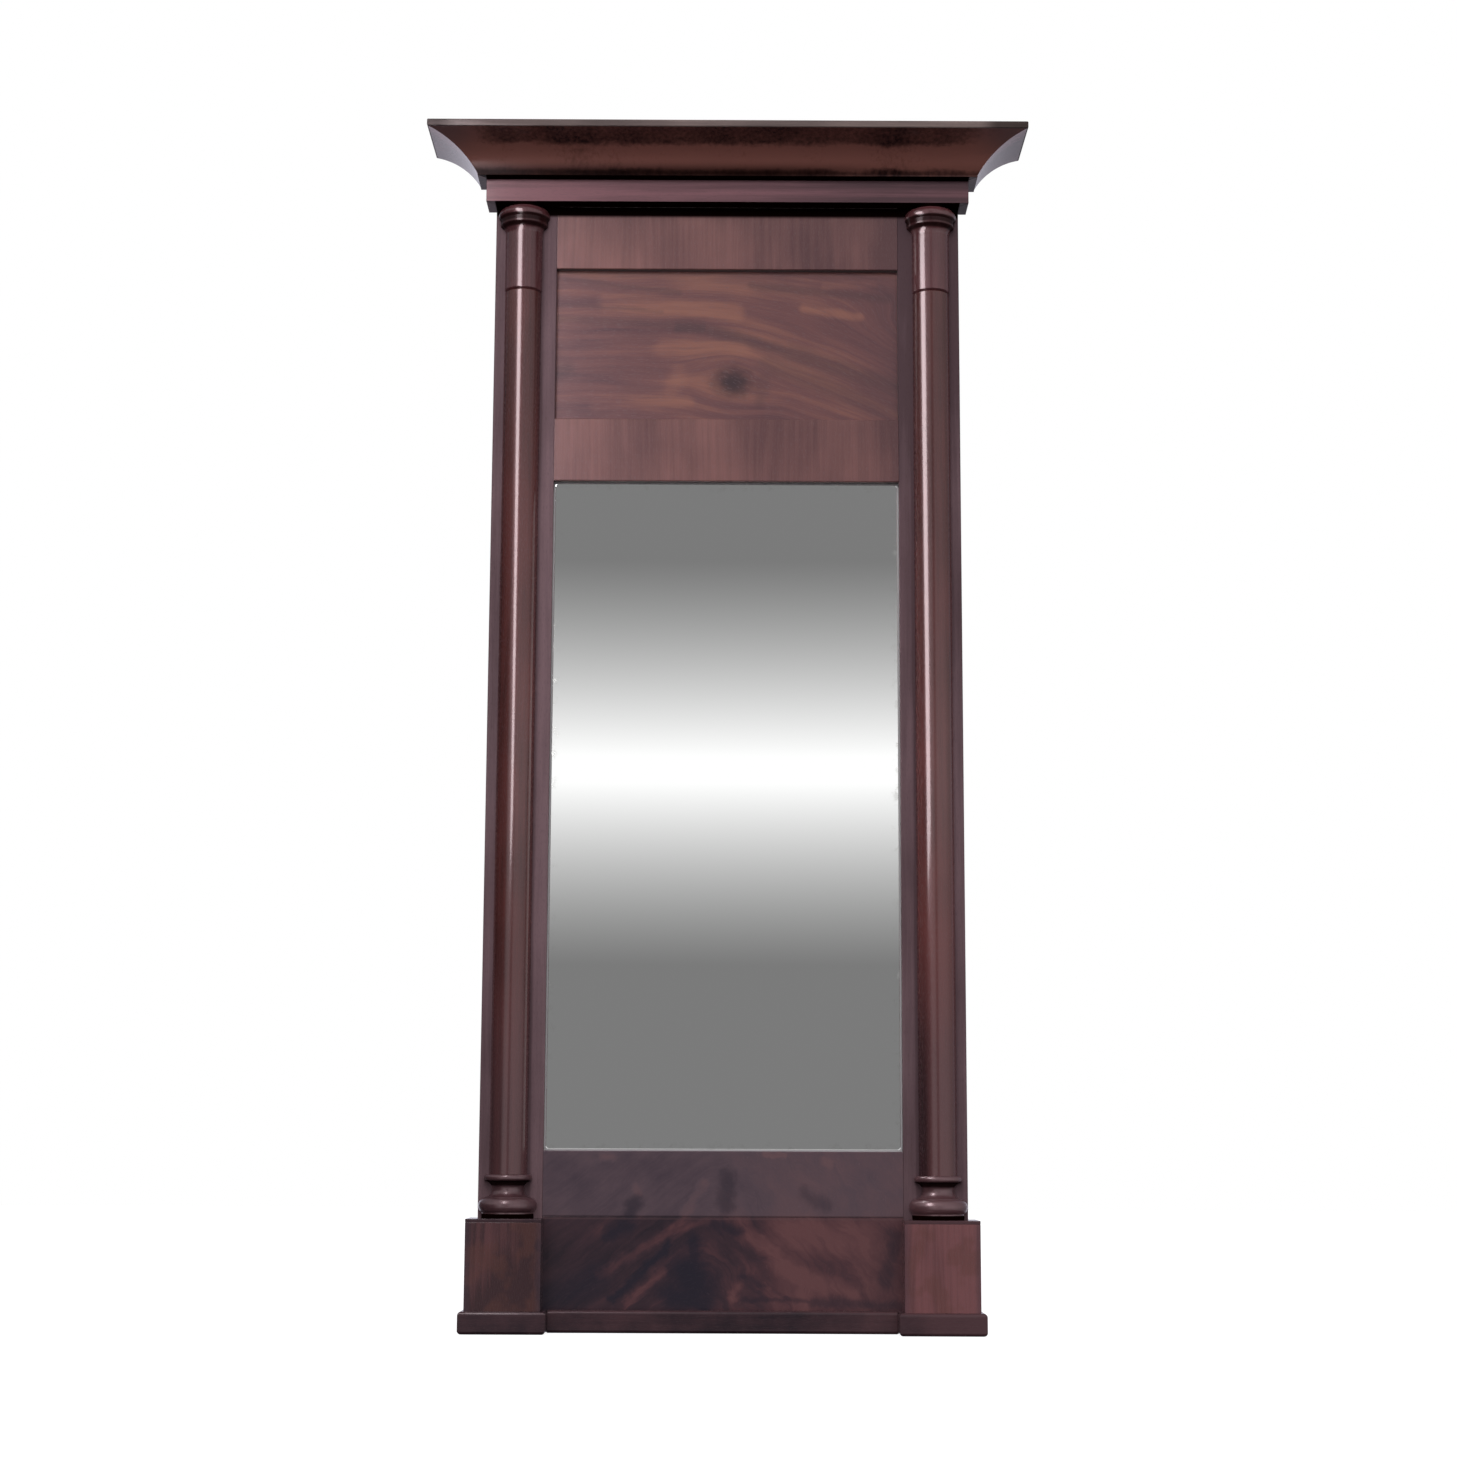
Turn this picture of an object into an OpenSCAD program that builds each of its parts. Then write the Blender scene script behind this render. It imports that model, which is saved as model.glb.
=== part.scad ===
// Pier mirror: a veneered softwood frame with two half columns on plinths,
// a coved cornice with mitred returns, a sunk tablet and a bevelled glass.
// X runs to the viewer's right, -Y to the viewer and +Z up. The +Y side is
// against the wall, and the origin is on the floor under the middle.

/* [Opening and stiles] */
// Width of the opening between the stiles
sight_w = 423; // [320:1:520]
// Width of one stile's face
stile_w = 76; // [76:1:100]

/* [Heights from the floor up] */
// Height of the base moulding
base_h = 26; // [18:1:36]
// Top of the plinth blocks above the floor
plinth_h = 130.5; // [100:0.5:160]
// Height of the bottom rail, up to its joint with the apron
bottom_rail_h = 132.5; // [100:0.5:160]
// Height of the apron rail under the glass
apron_h = 76.5; // [60:0.5:110]
// Visible height of the glass
glass_sight_h = 810.5; // [600:0.5:1000]
// Height of the rail between the glass and the tablet
mid_rail_h = 78.5; // [70:0.5:110]
// Visible height of the sunk tablet
tablet_h = 192; // [140:1:260]
// Height of the frieze rail above the tablet
frieze_h = 80; // [60:1:120]
// Height of the architrave band over the columns
band_h = 30; // [20:1:45]
// Height of the whole cornice
cornice_h = 50; // [42:1:70]

/* [Frame section, measured from the wall] */
// Thickness of the frame with its veneer
frame_t = 21; // [20:0.5:24]
// Thickness of the veneer
veneer_t = 1.5; // [0.8:0.1:2.5]
// Distance from the back of the frame to the shoulder that holds the glass
rebate_d = 12; // [11.5:0.5:14]
// Width of the shoulder that holds the glass and the tablet
rebate_w = 10; // [7:0.5:12]
// Width of the further step that the backboards are nailed to
nail_step_w = 10; // [8:0.5:12]
// Thickness of the glass
glass_t = 4; // [3:0.5:4]
// Width of the bevel round the glass
bevel_w = 11.4; // [10:0.2:20]
// How far the bevel falls back at the edge of the glass
bevel_drop = 1.5; // [0.5:0.1:2]
// Thickness of the backboards
board_t = 6; // [4:0.5:6]
// Thickness of the tablet with its veneer
tablet_t = 6; // [4:0.5:7]
// Corner radius of the glass
glass_corner_r = 1; // [0.5:0.5:4]
// Corner radius of the glass's flat face inside the bevel
bevel_corner_r = 3.5; // [2:0.5:6]
// Gap left round the glass, the tablet and the backboards
fit_gap = 1; // [0.5:0.1:2]
// Chamfer on the edges of the veneer at the openings
arris = 0.9; // [0.3:0.1:1.2]
// Chamfer on the veneer's edge at the joint over the plinth panel
seam_chamfer = 0.3; // [0.1:0.1:0.6]

/* [Cornice and architrave] */
// Front of the architrave band, from the wall
band_d = 41; // [38:0.5:60]
// Projection of the architrave beyond the sides of the case
band_over = 11.5; // [8:0.5:14]
// Projection of the cornice's lower lip beyond the architrave
lip_over = 10.5; // [6:0.5:16]
// Height of the lower lip
lip_h = 2; // [1:0.5:4]
// Projection of the cove from its lip to its upper edge
cove_out = 55.5; // [40:0.5:70]
// Radius of the cove
cove_r = 82; // [60:1:140]
// Thickness of the coved board, measured level
crown_t = 28; // [24:1:34]
// Height of the top fillet
fillet_h = 8.7; // [6:0.1:14]
// Projection of the top fillet beyond the cove
fillet_over = 1.5; // [0.5:0.5:4]
// Width of the fillet strips in plan
fillet_w = 20; // [14:1:30]
// Number of glue blocks under the top board
block_count = 5; // [3:1:7]
// Length of a glue block
block_l = 40; // [30:1:50]
// Reach of a glue block under the top board
block_d = 34; // [26:1:40]
// Height of a glue block against the head rail
block_h = 24; // [18:1:30]

/* [Columns] */
// Distance of a column's axis from the outer edge of the stile
col_inset = 35; // [35:0.5:42]
// Radius of the column shafts
shaft_r = 22.5; // [18:0.5:24]
// Radius that the neck of the capital has over the shaft's
neck_over = 0.5; // [0:0.1:2]
// Height of the capital with its neck
capital_h = 112; // [80:1:150]
// Projection of the capital's lip beyond its neck
cap_lip_over = 9; // [3:0.1:10]
// Radius of the rounded edge of the capital's lip
cap_lip_r = 8.4; // [5:0.1:9]
// Height of the plain disc above the lip
abacus_h = 5.7; // [3:0.1:9]
// How far the plain disc lies behind the face of the neck
abacus_in = 3; // [1:0.5:5]
// Radius of the cove over the neck
cap_cove_r = 13; // [9:0.5:20]
// Height of the plain ring between that cove and the lip
cap_fillet_h = 3; // [1:0.1:5]
// How far that ring lies behind the edge of the lip
cap_fillet_in = 2.5; // [1:0.1:3]
// Chamfer that makes the groove between shaft and neck
groove = 1.7; // [0.8:0.1:2.5]
// Height of the plain foot under the column's torus
foot_h = 5; // [3:0.5:8]
// Radius that the plain foot lacks against the torus
foot_in = 4; // [2:0.5:8]
// Radius of the torus's rounded edge
torus_round = 9.5; // [7:0.5:12]
// Projection of the torus beyond the shaft
torus_over = 12; // [8:0.5:12.5]
// Radius of the hollow over the torus
scotia_r = 9.5; // [7:0.5:12]
// How far the hollow cuts in behind the face of the shaft
waist_in = 4; // [2:0.5:6]
// Height of the disc that carries the shaft
disc_h = 7.5; // [5:0.5:10]
// Radius of that disc's rounded edges
disc_round = 3.5; // [1:0.5:3.5]
// Projection of that disc beyond the shaft
disc_over = 5.8; // [3:0.1:7]

/* [Plinths and base] */
// Width of a plinth block
plinth_w = 88; // [80:1:100]
// Projection of the plinth blocks beyond the sides of the case
plinth_over = 10.5; // [6:0.5:14]
// Front of the plinth blocks, from the wall
plinth_d = 62; // [58:1:80]
// Thickness of the plinth's front and inner boards
plinth_board_t = 10; // [6:0.5:14]
// Thickness of the plinth's cap
cap_t = 4; // [3:0.5:8]
// Projection of the base moulding beyond the plinth blocks
base_over = 6.5; // [5:0.5:12]
// Radius of the rounded edges of the base moulding
base_round = 4.5; // [2:0.5:5]
// Front of the middle length of base moulding, from the wall
base_mid_d = 36; // [28:1:48]

/* [Joints and hardware] */
// Width of stile left solid outside the halved joints
lap_land = 16; // [10:1:20]
// Height kept between a halved joint and the edge of its rail
lap_margin = 10; // [6:1:14]
// Radius of the frame's wooden pegs
peg_r = 4; // [3:0.25:4.5]
// Distance of the first peg from the opening
peg_in = 11; // [10:0.5:13]
// Distance between the two pegs of a joint
peg_pitch = 17; // [14:0.5:18]
// Clearance round pegs, screws and nails
pin_gap = 0.05; // [0.02:0.01:0.1]
// Radius of the screws that hold the columns
screw_r = 2; // [1.5:0.25:2.5]
// Length of the screws that hold the columns
screw_l = 34; // [30:1:38]
// Number of screws in each shaft
shaft_screw_count = 3; // [2:1:5]
// Height of a capital's screw above the foot of its neck
cap_screw_up = 24; // [16:1:40]
// Radius of the backboard nails
nail_r = 0.9; // [0.7:0.1:1.2]
// Length of the backboard nails
nail_l = 14; // [10:1:16]
// Number of nails up each side of the backboards
side_nail_count = 4; // [2:1:6]
// Width of a hanging plate
hanger_w = 64; // [54:1:80]
// Height of a hanging plate
hanger_h = 24; // [20:1:30]
// Thickness of a hanging plate
hanger_t = 2; // [1.5:0.25:3]
// Radius of the hole for the wall hook
hook_r = 5; // [3.5:0.25:6]
// Distance of a hanging plate from the middle of the frame
hanger_x = 140; // [90:1:150]
// Distance of a hanging plate's screws from its ends
hanger_screw_in = 9; // [7:0.5:11]
// Length of a hanging plate's screws
hanger_screw_l = 15; // [12:0.5:18]
// Clearance round the hook's tip in the pocket behind a plate
hook_play = 3; // [1:0.5:5]
// Depth of that pocket from the wall
hook_pocket_d = 13; // [8:0.5:17]

/* [Hidden] */
$fn = 96;
// Extra reach of a cutting shape past what it cuts, and of shapes that fuse
cut = 1;
mahogany = "#5d2e26";
dark_mahogany = "#4a241f";
flame = "#4b2724";
pine = "#c8a06c";
iron = "#3c3a38";
silver = "#c9ced2";

// Widths and depths
case_x = sight_w / 2 + stile_w;
sight_x = sight_w / 2;
core_t = frame_t - veneer_t;
lap_d = core_t / 2;
lap_x = case_x - lap_land;
seat_w = rebate_w + nail_step_w;
band_x = case_x + band_over;
lip_x = band_x + lip_over;
lip_d = band_d + lip_over;
fillet_out = cove_out + fillet_over;
overall_d = lip_d + fillet_out;

// Heights, upwards
sight_z0 = bottom_rail_h + apron_h;
sight_z1 = sight_z0 + glass_sight_h;
tablet_z0 = sight_z1 + mid_rail_h;
tablet_z1 = tablet_z0 + tablet_h;
band_z0 = tablet_z1 + frieze_h;
band_z1 = band_z0 + band_h;
overall_h = band_z1 + cornice_h;
crown_h = cornice_h - fillet_h;
fillet_z0 = overall_h - fillet_h;

// The cove: an arc of radius cove_r from the lip to the cove's upper edge
cove_h = crown_h - lip_h;
cove_chord = norm([cove_out, cove_h]);
cove_rise = sqrt(cove_r * cove_r - cove_chord * cove_chord / 4);
cove_centre = [
    cove_out / 2 + cove_h / cove_chord * cove_rise,
    lip_h + cove_h / 2 - cove_out / cove_chord * cove_rise
];
crown_seat = band_over + lip_over;
crown_slope = cove_h / cove_out;

// Columns
col_x = case_x - col_inset;
neck_r = shaft_r + neck_over;
capital_z0 = band_z0 - capital_h;
lip_ring_r = neck_r + cap_lip_over - cap_lip_r;
lip_ring_z = capital_h - abacus_h - cap_lip_r;
cap_ring_r = neck_r + cap_lip_over - cap_fillet_in;
cap_cove_z = lip_ring_z - cap_lip_r - cap_fillet_h - cap_cove_r;
torus_r = shaft_r + torus_over;
disc_r = shaft_r + disc_over;
scotia_z = foot_h + 2 * torus_round + scotia_r;
scotia_x = shaft_r - waist_in + scotia_r;
disc_z = scotia_z + scotia_r;
col_base_h = disc_z + disc_h;
shaft_z0 = plinth_h + col_base_h;

// Plinths
plinth_xo = case_x + plinth_over;
plinth_xi = plinth_xo - plinth_w;
plinth_back = plinth_d - plinth_board_t;

// Halved joints: the height range of each rail's tongue
laps = [
    [lap_margin, bottom_rail_h - lap_margin],
    [bottom_rail_h + lap_margin / 2, sight_z0 - seat_w],
    [sight_z1 + seat_w, tablet_z0 - seat_w],
    [tablet_z1 + seat_w, band_z0 - lap_margin / 2],
    [band_z0 + lap_margin / 2, fillet_z0 - lap_margin]
];
peg_xs = [sight_x + peg_in, sight_x + peg_in + peg_pitch];
peg_zs = [for (lap = laps) (lap[0] + lap[1]) / 2];

// Screws that hold each column to its stile
shaft_screw_step = (capital_z0 - shaft_z0) / (shaft_screw_count + 1);
screw_zs = concat(
    [plinth_h + foot_h + torus_round, capital_z0 + cap_screw_up],
    [for (i = [1:shaft_screw_count]) shaft_z0 + i * shaft_screw_step]
);
screw_head_r = 2 * screw_r;
screw_head_h = 1.5 * screw_r;

// Backboards and their nails
plank_count = 3;
plank_w = (sight_w + 2 * seat_w - 2 * fit_gap) / plank_count;
nail_inset = nail_step_w / 2;
nail_head_r = 2.5 * nail_r;
nail_head_h = nail_r;
packing_t = rebate_d - glass_t - board_t;
packing_w = rebate_w - 2 * fit_gap;

// Cornice blocks
block_pitch = 2 * sight_x / block_count;

// Hanging plates
hanger_z = (band_z0 + fillet_z0) / 2;
hanger_screw_x = hanger_w / 2 - hanger_screw_in;
hook_pocket_r = hook_r + hook_play;

// ---- Helpers ----

// Children are drawn with y = minus the distance from the wall
module from_wall() {
    translate([0, overall_d / 2, 0]) children();
}

// A box between two x, two distances from the wall and two heights
module board(x, d, z) {
    translate([x[0], -d[1], z[0]])
        cube([x[1] - x[0], d[1] - d[0], z[1] - z[0]]);
}

// Children made for the right-hand side, or mirrored to the left
module on_side(side) {
    mirror([side < 0 ? 1 : 0, 0, 0]) children();
}

// A profile (outwards, up) extruded along the front, facing the viewer
module front_run(length) {
    rotate([0, 0, -90]) rotate([90, 0, 0])
        linear_extrude(height = length, center = true) children();
}

// A profile (outwards, up) extruded from the wall forwards, facing +X
module side_run(length) {
    rotate([90, 0, 0]) linear_extrude(height = length) children();
}

// A plan outline with points [x, distance from the wall], made upright
module upright(z, points) {
    translate([0, 0, z[0]]) linear_extrude(height = z[1] - z[0])
        polygon([for (p = points) [p[0], -p[1]]]);
}

// A half-round solid turned from a profile (radius, height), facing the viewer
module half_turned() {
    rotate([0, 0, 180]) rotate_extrude(angle = 180) children();
}

// A strip's profile with both outer corners chamfered
module chamfered(width, height, low_chamfer, high_chamfer) {
    polygon([
        [0, 0], [width - low_chamfer, 0], [width, low_chamfer],
        [width, height - high_chamfer], [width - high_chamfer, height],
        [0, height]
    ]);
}

// A moulding's profile with both outer corners rounded
module rounded(width, height, radius) {
    square([width - radius, height]);
    translate([0, radius]) square([width, height - 2 * radius]);
    translate([width - radius, radius]) circle(r = radius);
    translate([width - radius, height - radius]) circle(r = radius);
}

// ---- The frame ----

// What an opening takes out of the frame's back: glass rebate and nailing step
module rebates(z0, z1) {
    board([-sight_x - rebate_w, sight_x + rebate_w], [-cut, rebate_d],
          [z0 - rebate_w, z1 + rebate_w]);
    board([-sight_x - seat_w, sight_x + seat_w], [-cut, board_t],
          [z0 - seat_w, z1 + seat_w]);
}

module all_rebates() {
    rebates(sight_z0, sight_z1);
    rebates(tablet_z0, tablet_z1);
}

module pegs(gap) {
    for (side = [-1, 1], x = peg_xs, z = peg_zs)
        translate([side * x, 0, z]) rotate([90, 0, 0])
            cylinder(r = peg_r + gap, h = core_t);
}

module column_screw_set(gap) {
    for (side = [-1, 1], z = screw_zs)
        translate([side * col_x, 0, z]) rotate([90, 0, 0]) {
            cylinder(r = screw_r + gap, h = screw_l + gap);
            cylinder(r1 = screw_head_r + gap, r2 = screw_r + gap,
                     h = screw_head_h + gap);
        }
}

module stile(side) {
    difference() {
        on_side(side) board([sight_x, case_x], [0, core_t], [0, fillet_z0]);
        all_rebates();
        for (lap = laps)
            on_side(side) board([sight_x - cut, lap_x], [-cut, lap_d], lap);
        pegs(pin_gap);
        nails(pin_gap);
        column_screw_set(pin_gap);
    }
}

// A rail with a half-thick tongue at each end that lies behind the stiles
module rail(z, lap, thickness) {
    difference() {
        union() {
            board([-sight_x, sight_x], [0, thickness], z);
            board([-lap_x, lap_x], [0, lap_d], lap);
        }
        all_rebates();
        pegs(pin_gap);
        nails(pin_gap);
        column_screw_set(pin_gap);
    }
}

module stile_left() { color(pine) from_wall() stile(-1); }
module stile_right() { color(pine) from_wall() stile(1); }
module bottom_rail() {
    color(pine) from_wall() rail([0, bottom_rail_h], laps[0], core_t);
}
module apron_rail() {
    color(pine) from_wall() rail([bottom_rail_h, sight_z0], laps[1], core_t);
}
module mid_rail() {
    color(pine) from_wall() rail([sight_z1, tablet_z0], laps[2], core_t);
}
module frieze_rail() {
    color(pine) from_wall() rail([tablet_z1, band_z0], laps[3], core_t);
}
module head_rail() {
    color(pine) from_wall() difference() {
        rail([band_z0, fillet_z0], laps[4], frame_t);
        hanging_cuts();
    }
}
module frame_pegs() { color(pine) from_wall() pegs(0); }

// ---- Veneers on the front of the frame ----

module stile_veneer(side) {
    difference() {
        on_side(side) upright([0, fillet_z0], [
            [sight_x, core_t], [sight_x, frame_t - arris],
            [sight_x + arris, frame_t], [case_x - arris, frame_t],
            [case_x, frame_t - arris], [case_x, core_t]
        ]);
        column_screw_set(pin_gap);
    }
}

// Veneer on a rail, with a chamfer at each edge that meets an opening
module rail_veneer(z, low_chamfer, high_chamfer) {
    translate([0, -core_t, z[0]]) front_run(sight_w)
        chamfered(veneer_t, z[1] - z[0], low_chamfer, high_chamfer);
}

module stile_veneer_left() { color(mahogany) from_wall() stile_veneer(-1); }
module stile_veneer_right() { color(mahogany) from_wall() stile_veneer(1); }
module plinth_panel_veneer() {
    color(flame) from_wall() rail_veneer([0, bottom_rail_h], 0, seam_chamfer);
}
module apron_veneer() {
    color(flame) from_wall() rail_veneer([bottom_rail_h, sight_z0], 0, arris);
}
module mid_rail_veneer() {
    color(mahogany) from_wall() rail_veneer([sight_z1, tablet_z0], arris, arris);
}
module frieze_veneer() {
    color(mahogany) from_wall() rail_veneer([tablet_z1, band_z0], arris, 0);
}

// ---- Tablet, glass and backboards ----

module tablet_sheet(d) {
    grow = rebate_w - fit_gap;
    board([-sight_x - grow, sight_x + grow], d, [tablet_z0 - grow, tablet_z1 + grow]);
}

module tablet_panel() {
    color(pine) from_wall() tablet_sheet([rebate_d - tablet_t, rebate_d - veneer_t]);
}
module tablet_veneer() {
    color(mahogany) from_wall() tablet_sheet([rebate_d - veneer_t, rebate_d]);
}

// One layer of the glass, drawn in from the edge of the plate
module glass_layer(inset, corner, d) {
    x = sight_x + rebate_w - fit_gap - inset - corner;
    z0 = sight_z0 - rebate_w + fit_gap + inset + corner;
    z1 = sight_z1 + rebate_w - fit_gap - inset - corner;
    for (cx = [-x, x], cz = [z0, z1])
        translate([cx, -d[0], cz]) rotate([90, 0, 0])
            cylinder(r = corner, h = d[1] - d[0], $fn = 32);
}

module mirror_glass() {
    back = rebate_d - glass_t;
    color(silver) from_wall() hull() {
        glass_layer(0, glass_corner_r, [back, rebate_d - bevel_drop]);
        glass_layer(bevel_w, bevel_corner_r, [back, rebate_d]);
    }
}

module glass_packing() {
    x = sight_x + rebate_w - fit_gap;
    z0 = sight_z0 - rebate_w + fit_gap;
    z1 = sight_z1 + rebate_w - fit_gap;
    d = [board_t, board_t + packing_t];
    color(pine) from_wall() {
        for (side = [-1, 1])
            on_side(side) board([x - packing_w, x], d, [z0, z1]);
        for (z = [z0, z1 - packing_w])
            board([packing_w - x, x - packing_w], d, [z, z + packing_w]);
    }
}

// Nails along the top, the foot and the outer edges of the backboards
module nail_row(z0, z1, columns, rows) {
    x_edge = sight_x + seat_w - nail_inset;
    low = z0 - seat_w + nail_inset;
    high = z1 + seat_w - nail_inset;
    for (x = columns, z = [low, high]) children_at(x, z) children();
    for (side = [-1, 1], i = [1:rows])
        children_at(side * x_edge, low + i * (high - low) / (rows + 1)) children();
}

module children_at(x, z) {
    translate([x, 0, z]) rotate([90, 0, 0]) children();
}

module nail(gap) {
    cylinder(r = nail_r + gap, h = nail_l + gap, $fn = 24);
    cylinder(r = nail_head_r + gap, h = nail_head_h + gap, $fn = 24);
}

module nails(gap) {
    plank_nails = [
        for (plank = [-1:1], side = [-1, 1]) plank * plank_w + side * plank_w / 3
    ];
    nail_row(sight_z0, sight_z1, plank_nails, side_nail_count) nail(gap);
    nail_row(tablet_z0, tablet_z1, [-plank_w, 0, plank_w], 1) nail(gap);
}

module plank(index) {
    edge = index * plank_w - plank_w / 2;
    difference() {
        board([edge, edge + plank_w], [0, board_t],
              [sight_z0 - seat_w + fit_gap, sight_z1 + seat_w - fit_gap]);
        nails(pin_gap);
    }
}

module backboard_left() { color(pine) from_wall() plank(-1); }
module backboard_middle() { color(pine) from_wall() plank(0); }
module backboard_right() { color(pine) from_wall() plank(1); }
module backboard_tablet() {
    grow = seat_w - fit_gap;
    color(pine) from_wall() difference() {
        board([-sight_x - grow, sight_x + grow], [0, board_t],
              [tablet_z0 - grow, tablet_z1 + grow]);
        nails(pin_gap);
    }
}
module backboard_nails() { color(iron) from_wall() nails(0); }

// ---- Architrave ----

module architrave_front() {
    color(mahogany) from_wall() upright([band_z0, band_z1], [
        [-case_x, frame_t], [-case_x, band_d - band_over], [-band_x, band_d],
        [band_x, band_d], [case_x, band_d - band_over], [case_x, frame_t]
    ]);
}

module architrave_return(side) {
    on_side(side) upright([band_z0, band_z1], [
        [case_x, 0], [band_x, 0], [band_x, band_d], [case_x, band_d - band_over]
    ]);
}

module architrave_left() { color(mahogany) from_wall() architrave_return(-1); }
module architrave_right() { color(mahogany) from_wall() architrave_return(1); }

// ---- Cornice ----

// The coved board, outwards from the lip's face and up from its underside
module crown_profile() {
    difference() {
        polygon([
            [-crown_seat, 0], [0, 0], [0, lip_h],
            [cove_out, crown_h], [cove_out - crown_t, crown_h],
            [-crown_seat, crown_h - (cove_out - crown_t + crown_seat) * crown_slope]
        ]);
        intersection() {
            translate(cove_centre) circle(r = cove_r, $fn = 180);
            translate([0, lip_h]) square([cove_out + cut, cove_h]);
        }
    }
}

// Keeps the part of a front run, or a right-hand return, inside its mitres
module mitred_front(low, high, z) {
    intersection() {
        children();
        upright(z, [
            [-lip_x - high, lip_d + high], [lip_x + high, lip_d + high],
            [lip_x + low, lip_d + low], [-lip_x - low, lip_d + low]
        ]);
    }
}

module mitred_return(low, high, z) {
    intersection() {
        children();
        upright(z, [
            [lip_x + low, 0], [lip_x + high, 0],
            [lip_x + high, lip_d + high], [lip_x + low, lip_d + low]
        ]);
    }
}

module cornice_cove_front() {
    color(dark_mahogany) from_wall()
        mitred_front(-crown_seat, cove_out, [band_z1 - cut, fillet_z0 + cut])
            translate([0, -lip_d, band_z1]) front_run(2 * (lip_x + cove_out))
                crown_profile();
}

module cove_return(side) {
    on_side(side)
        mitred_return(-crown_seat, cove_out, [band_z1 - cut, fillet_z0 + cut])
            translate([lip_x, 0, band_z1]) side_run(lip_d + cove_out)
                crown_profile();
}

module cornice_cove_left() { color(dark_mahogany) from_wall() cove_return(-1); }
module cornice_cove_right() { color(dark_mahogany) from_wall() cove_return(1); }

module fillet_profile() {
    chamfered(fillet_w, fillet_h, arris, arris);
}

module cornice_fillet_front() {
    low = fillet_out - fillet_w;
    color(mahogany) from_wall()
        mitred_front(low, fillet_out, [fillet_z0 - cut, overall_h + cut])
            translate([0, -lip_d - low, fillet_z0])
                front_run(2 * (lip_x + fillet_out)) fillet_profile();
}

module fillet_return(side) {
    low = fillet_out - fillet_w;
    on_side(side)
        mitred_return(low, fillet_out, [fillet_z0 - cut, overall_h + cut])
            translate([lip_x + low, 0, fillet_z0])
                side_run(lip_d + fillet_out) fillet_profile();
}

module cornice_fillet_left() { color(mahogany) from_wall() fillet_return(-1); }
module cornice_fillet_right() { color(mahogany) from_wall() fillet_return(1); }

module cornice_top_board() {
    x = lip_x + fillet_out - fillet_w;
    color(pine) from_wall()
        board([-x, x], [0, overall_d - fillet_w], [fillet_z0, overall_h]);
}

// Triangular blocks glued behind the cove, under the top board
module cornice_blocks() {
    color(pine) from_wall()
        for (i = [0:block_count - 1])
            translate([(i - (block_count - 1) / 2) * block_pitch, -frame_t, fillet_z0])
                front_run(block_l)
                    polygon([[0, 0], [block_d, 0], [0, -block_h]]);
}

// ---- Columns ----

module capital_profile() {
    difference() {
        union() {
            square([neck_r, capital_h - abacus_h]);
            translate([0, cap_cove_z])
                square([cap_ring_r, lip_ring_z - cap_cove_z]);
            translate([0, lip_ring_z - cap_lip_r])
                square([lip_ring_r, 2 * cap_lip_r]);
            translate([lip_ring_r, lip_ring_z]) circle(r = cap_lip_r);
            square([neck_r - abacus_in, capital_h]);
        }
        translate([neck_r + cap_cove_r, cap_cove_z]) circle(r = cap_cove_r);
        polygon([
            [neck_r - groove - cut, -cut], [neck_r + cut, -cut], [neck_r + cut, groove + cut]
        ]);
    }
}

module capital(side) {
    difference() {
        translate([side * col_x, -frame_t, capital_z0]) half_turned()
            capital_profile();
        column_screw_set(pin_gap);
    }
}

module shaft_profile() {
    top = capital_z0 - shaft_z0;
    polygon([[0, 0], [shaft_r, 0], [shaft_r, top - groove],
             [shaft_r - groove, top], [0, top]]);
}

module shaft(side) {
    difference() {
        translate([side * col_x, -frame_t, shaft_z0]) half_turned()
            shaft_profile();
        column_screw_set(pin_gap);
    }
}

module column_base_profile() {
    difference() {
        union() {
            square([torus_r - foot_in, foot_h + torus_round]);
            translate([0, foot_h])
                square([torus_r - torus_round, 2 * torus_round]);
            translate([torus_r - torus_round, foot_h + torus_round])
                circle(r = torus_round);
            translate([0, foot_h + torus_round])
                square([scotia_x, disc_z - foot_h - torus_round]);
            translate([0, disc_z]) rounded(disc_r, disc_h, disc_round);
        }
        translate([scotia_x, scotia_z]) circle(r = scotia_r);
    }
}

module column_base(side) {
    difference() {
        translate([side * col_x, -frame_t, plinth_h]) half_turned()
            column_base_profile();
        column_screw_set(pin_gap);
    }
}

module capital_left() { color(mahogany) from_wall() capital(-1); }
module capital_right() { color(mahogany) from_wall() capital(1); }
module shaft_left() { color(mahogany) from_wall() shaft(-1); }
module shaft_right() { color(mahogany) from_wall() shaft(1); }
module column_base_left() { color(dark_mahogany) from_wall() column_base(-1); }
module column_base_right() { color(dark_mahogany) from_wall() column_base(1); }
module column_screws() { color(iron) from_wall() column_screw_set(0); }

// ---- Plinths ----

module plinth_front(side) {
    on_side(side)
        board([plinth_xi, plinth_xo], [plinth_back, plinth_d], [0, plinth_h - cap_t]);
}
module plinth_outer(side) {
    on_side(side) board([case_x, plinth_xo], [0, plinth_back], [0, plinth_h - cap_t]);
}
module plinth_inner(side) {
    on_side(side)
        board([plinth_xi, plinth_xi + plinth_board_t], [frame_t, plinth_back],
              [0, plinth_h - cap_t]);
}

// The cap runs back to the wall outside the case and to the veneer inside it
module plinth_cap(side) {
    on_side(side) upright([plinth_h - cap_t, plinth_h], [
        [plinth_xi, frame_t], [plinth_xi, plinth_d], [plinth_xo, plinth_d],
        [plinth_xo, 0], [case_x, 0], [case_x, frame_t]
    ]);
}

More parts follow.
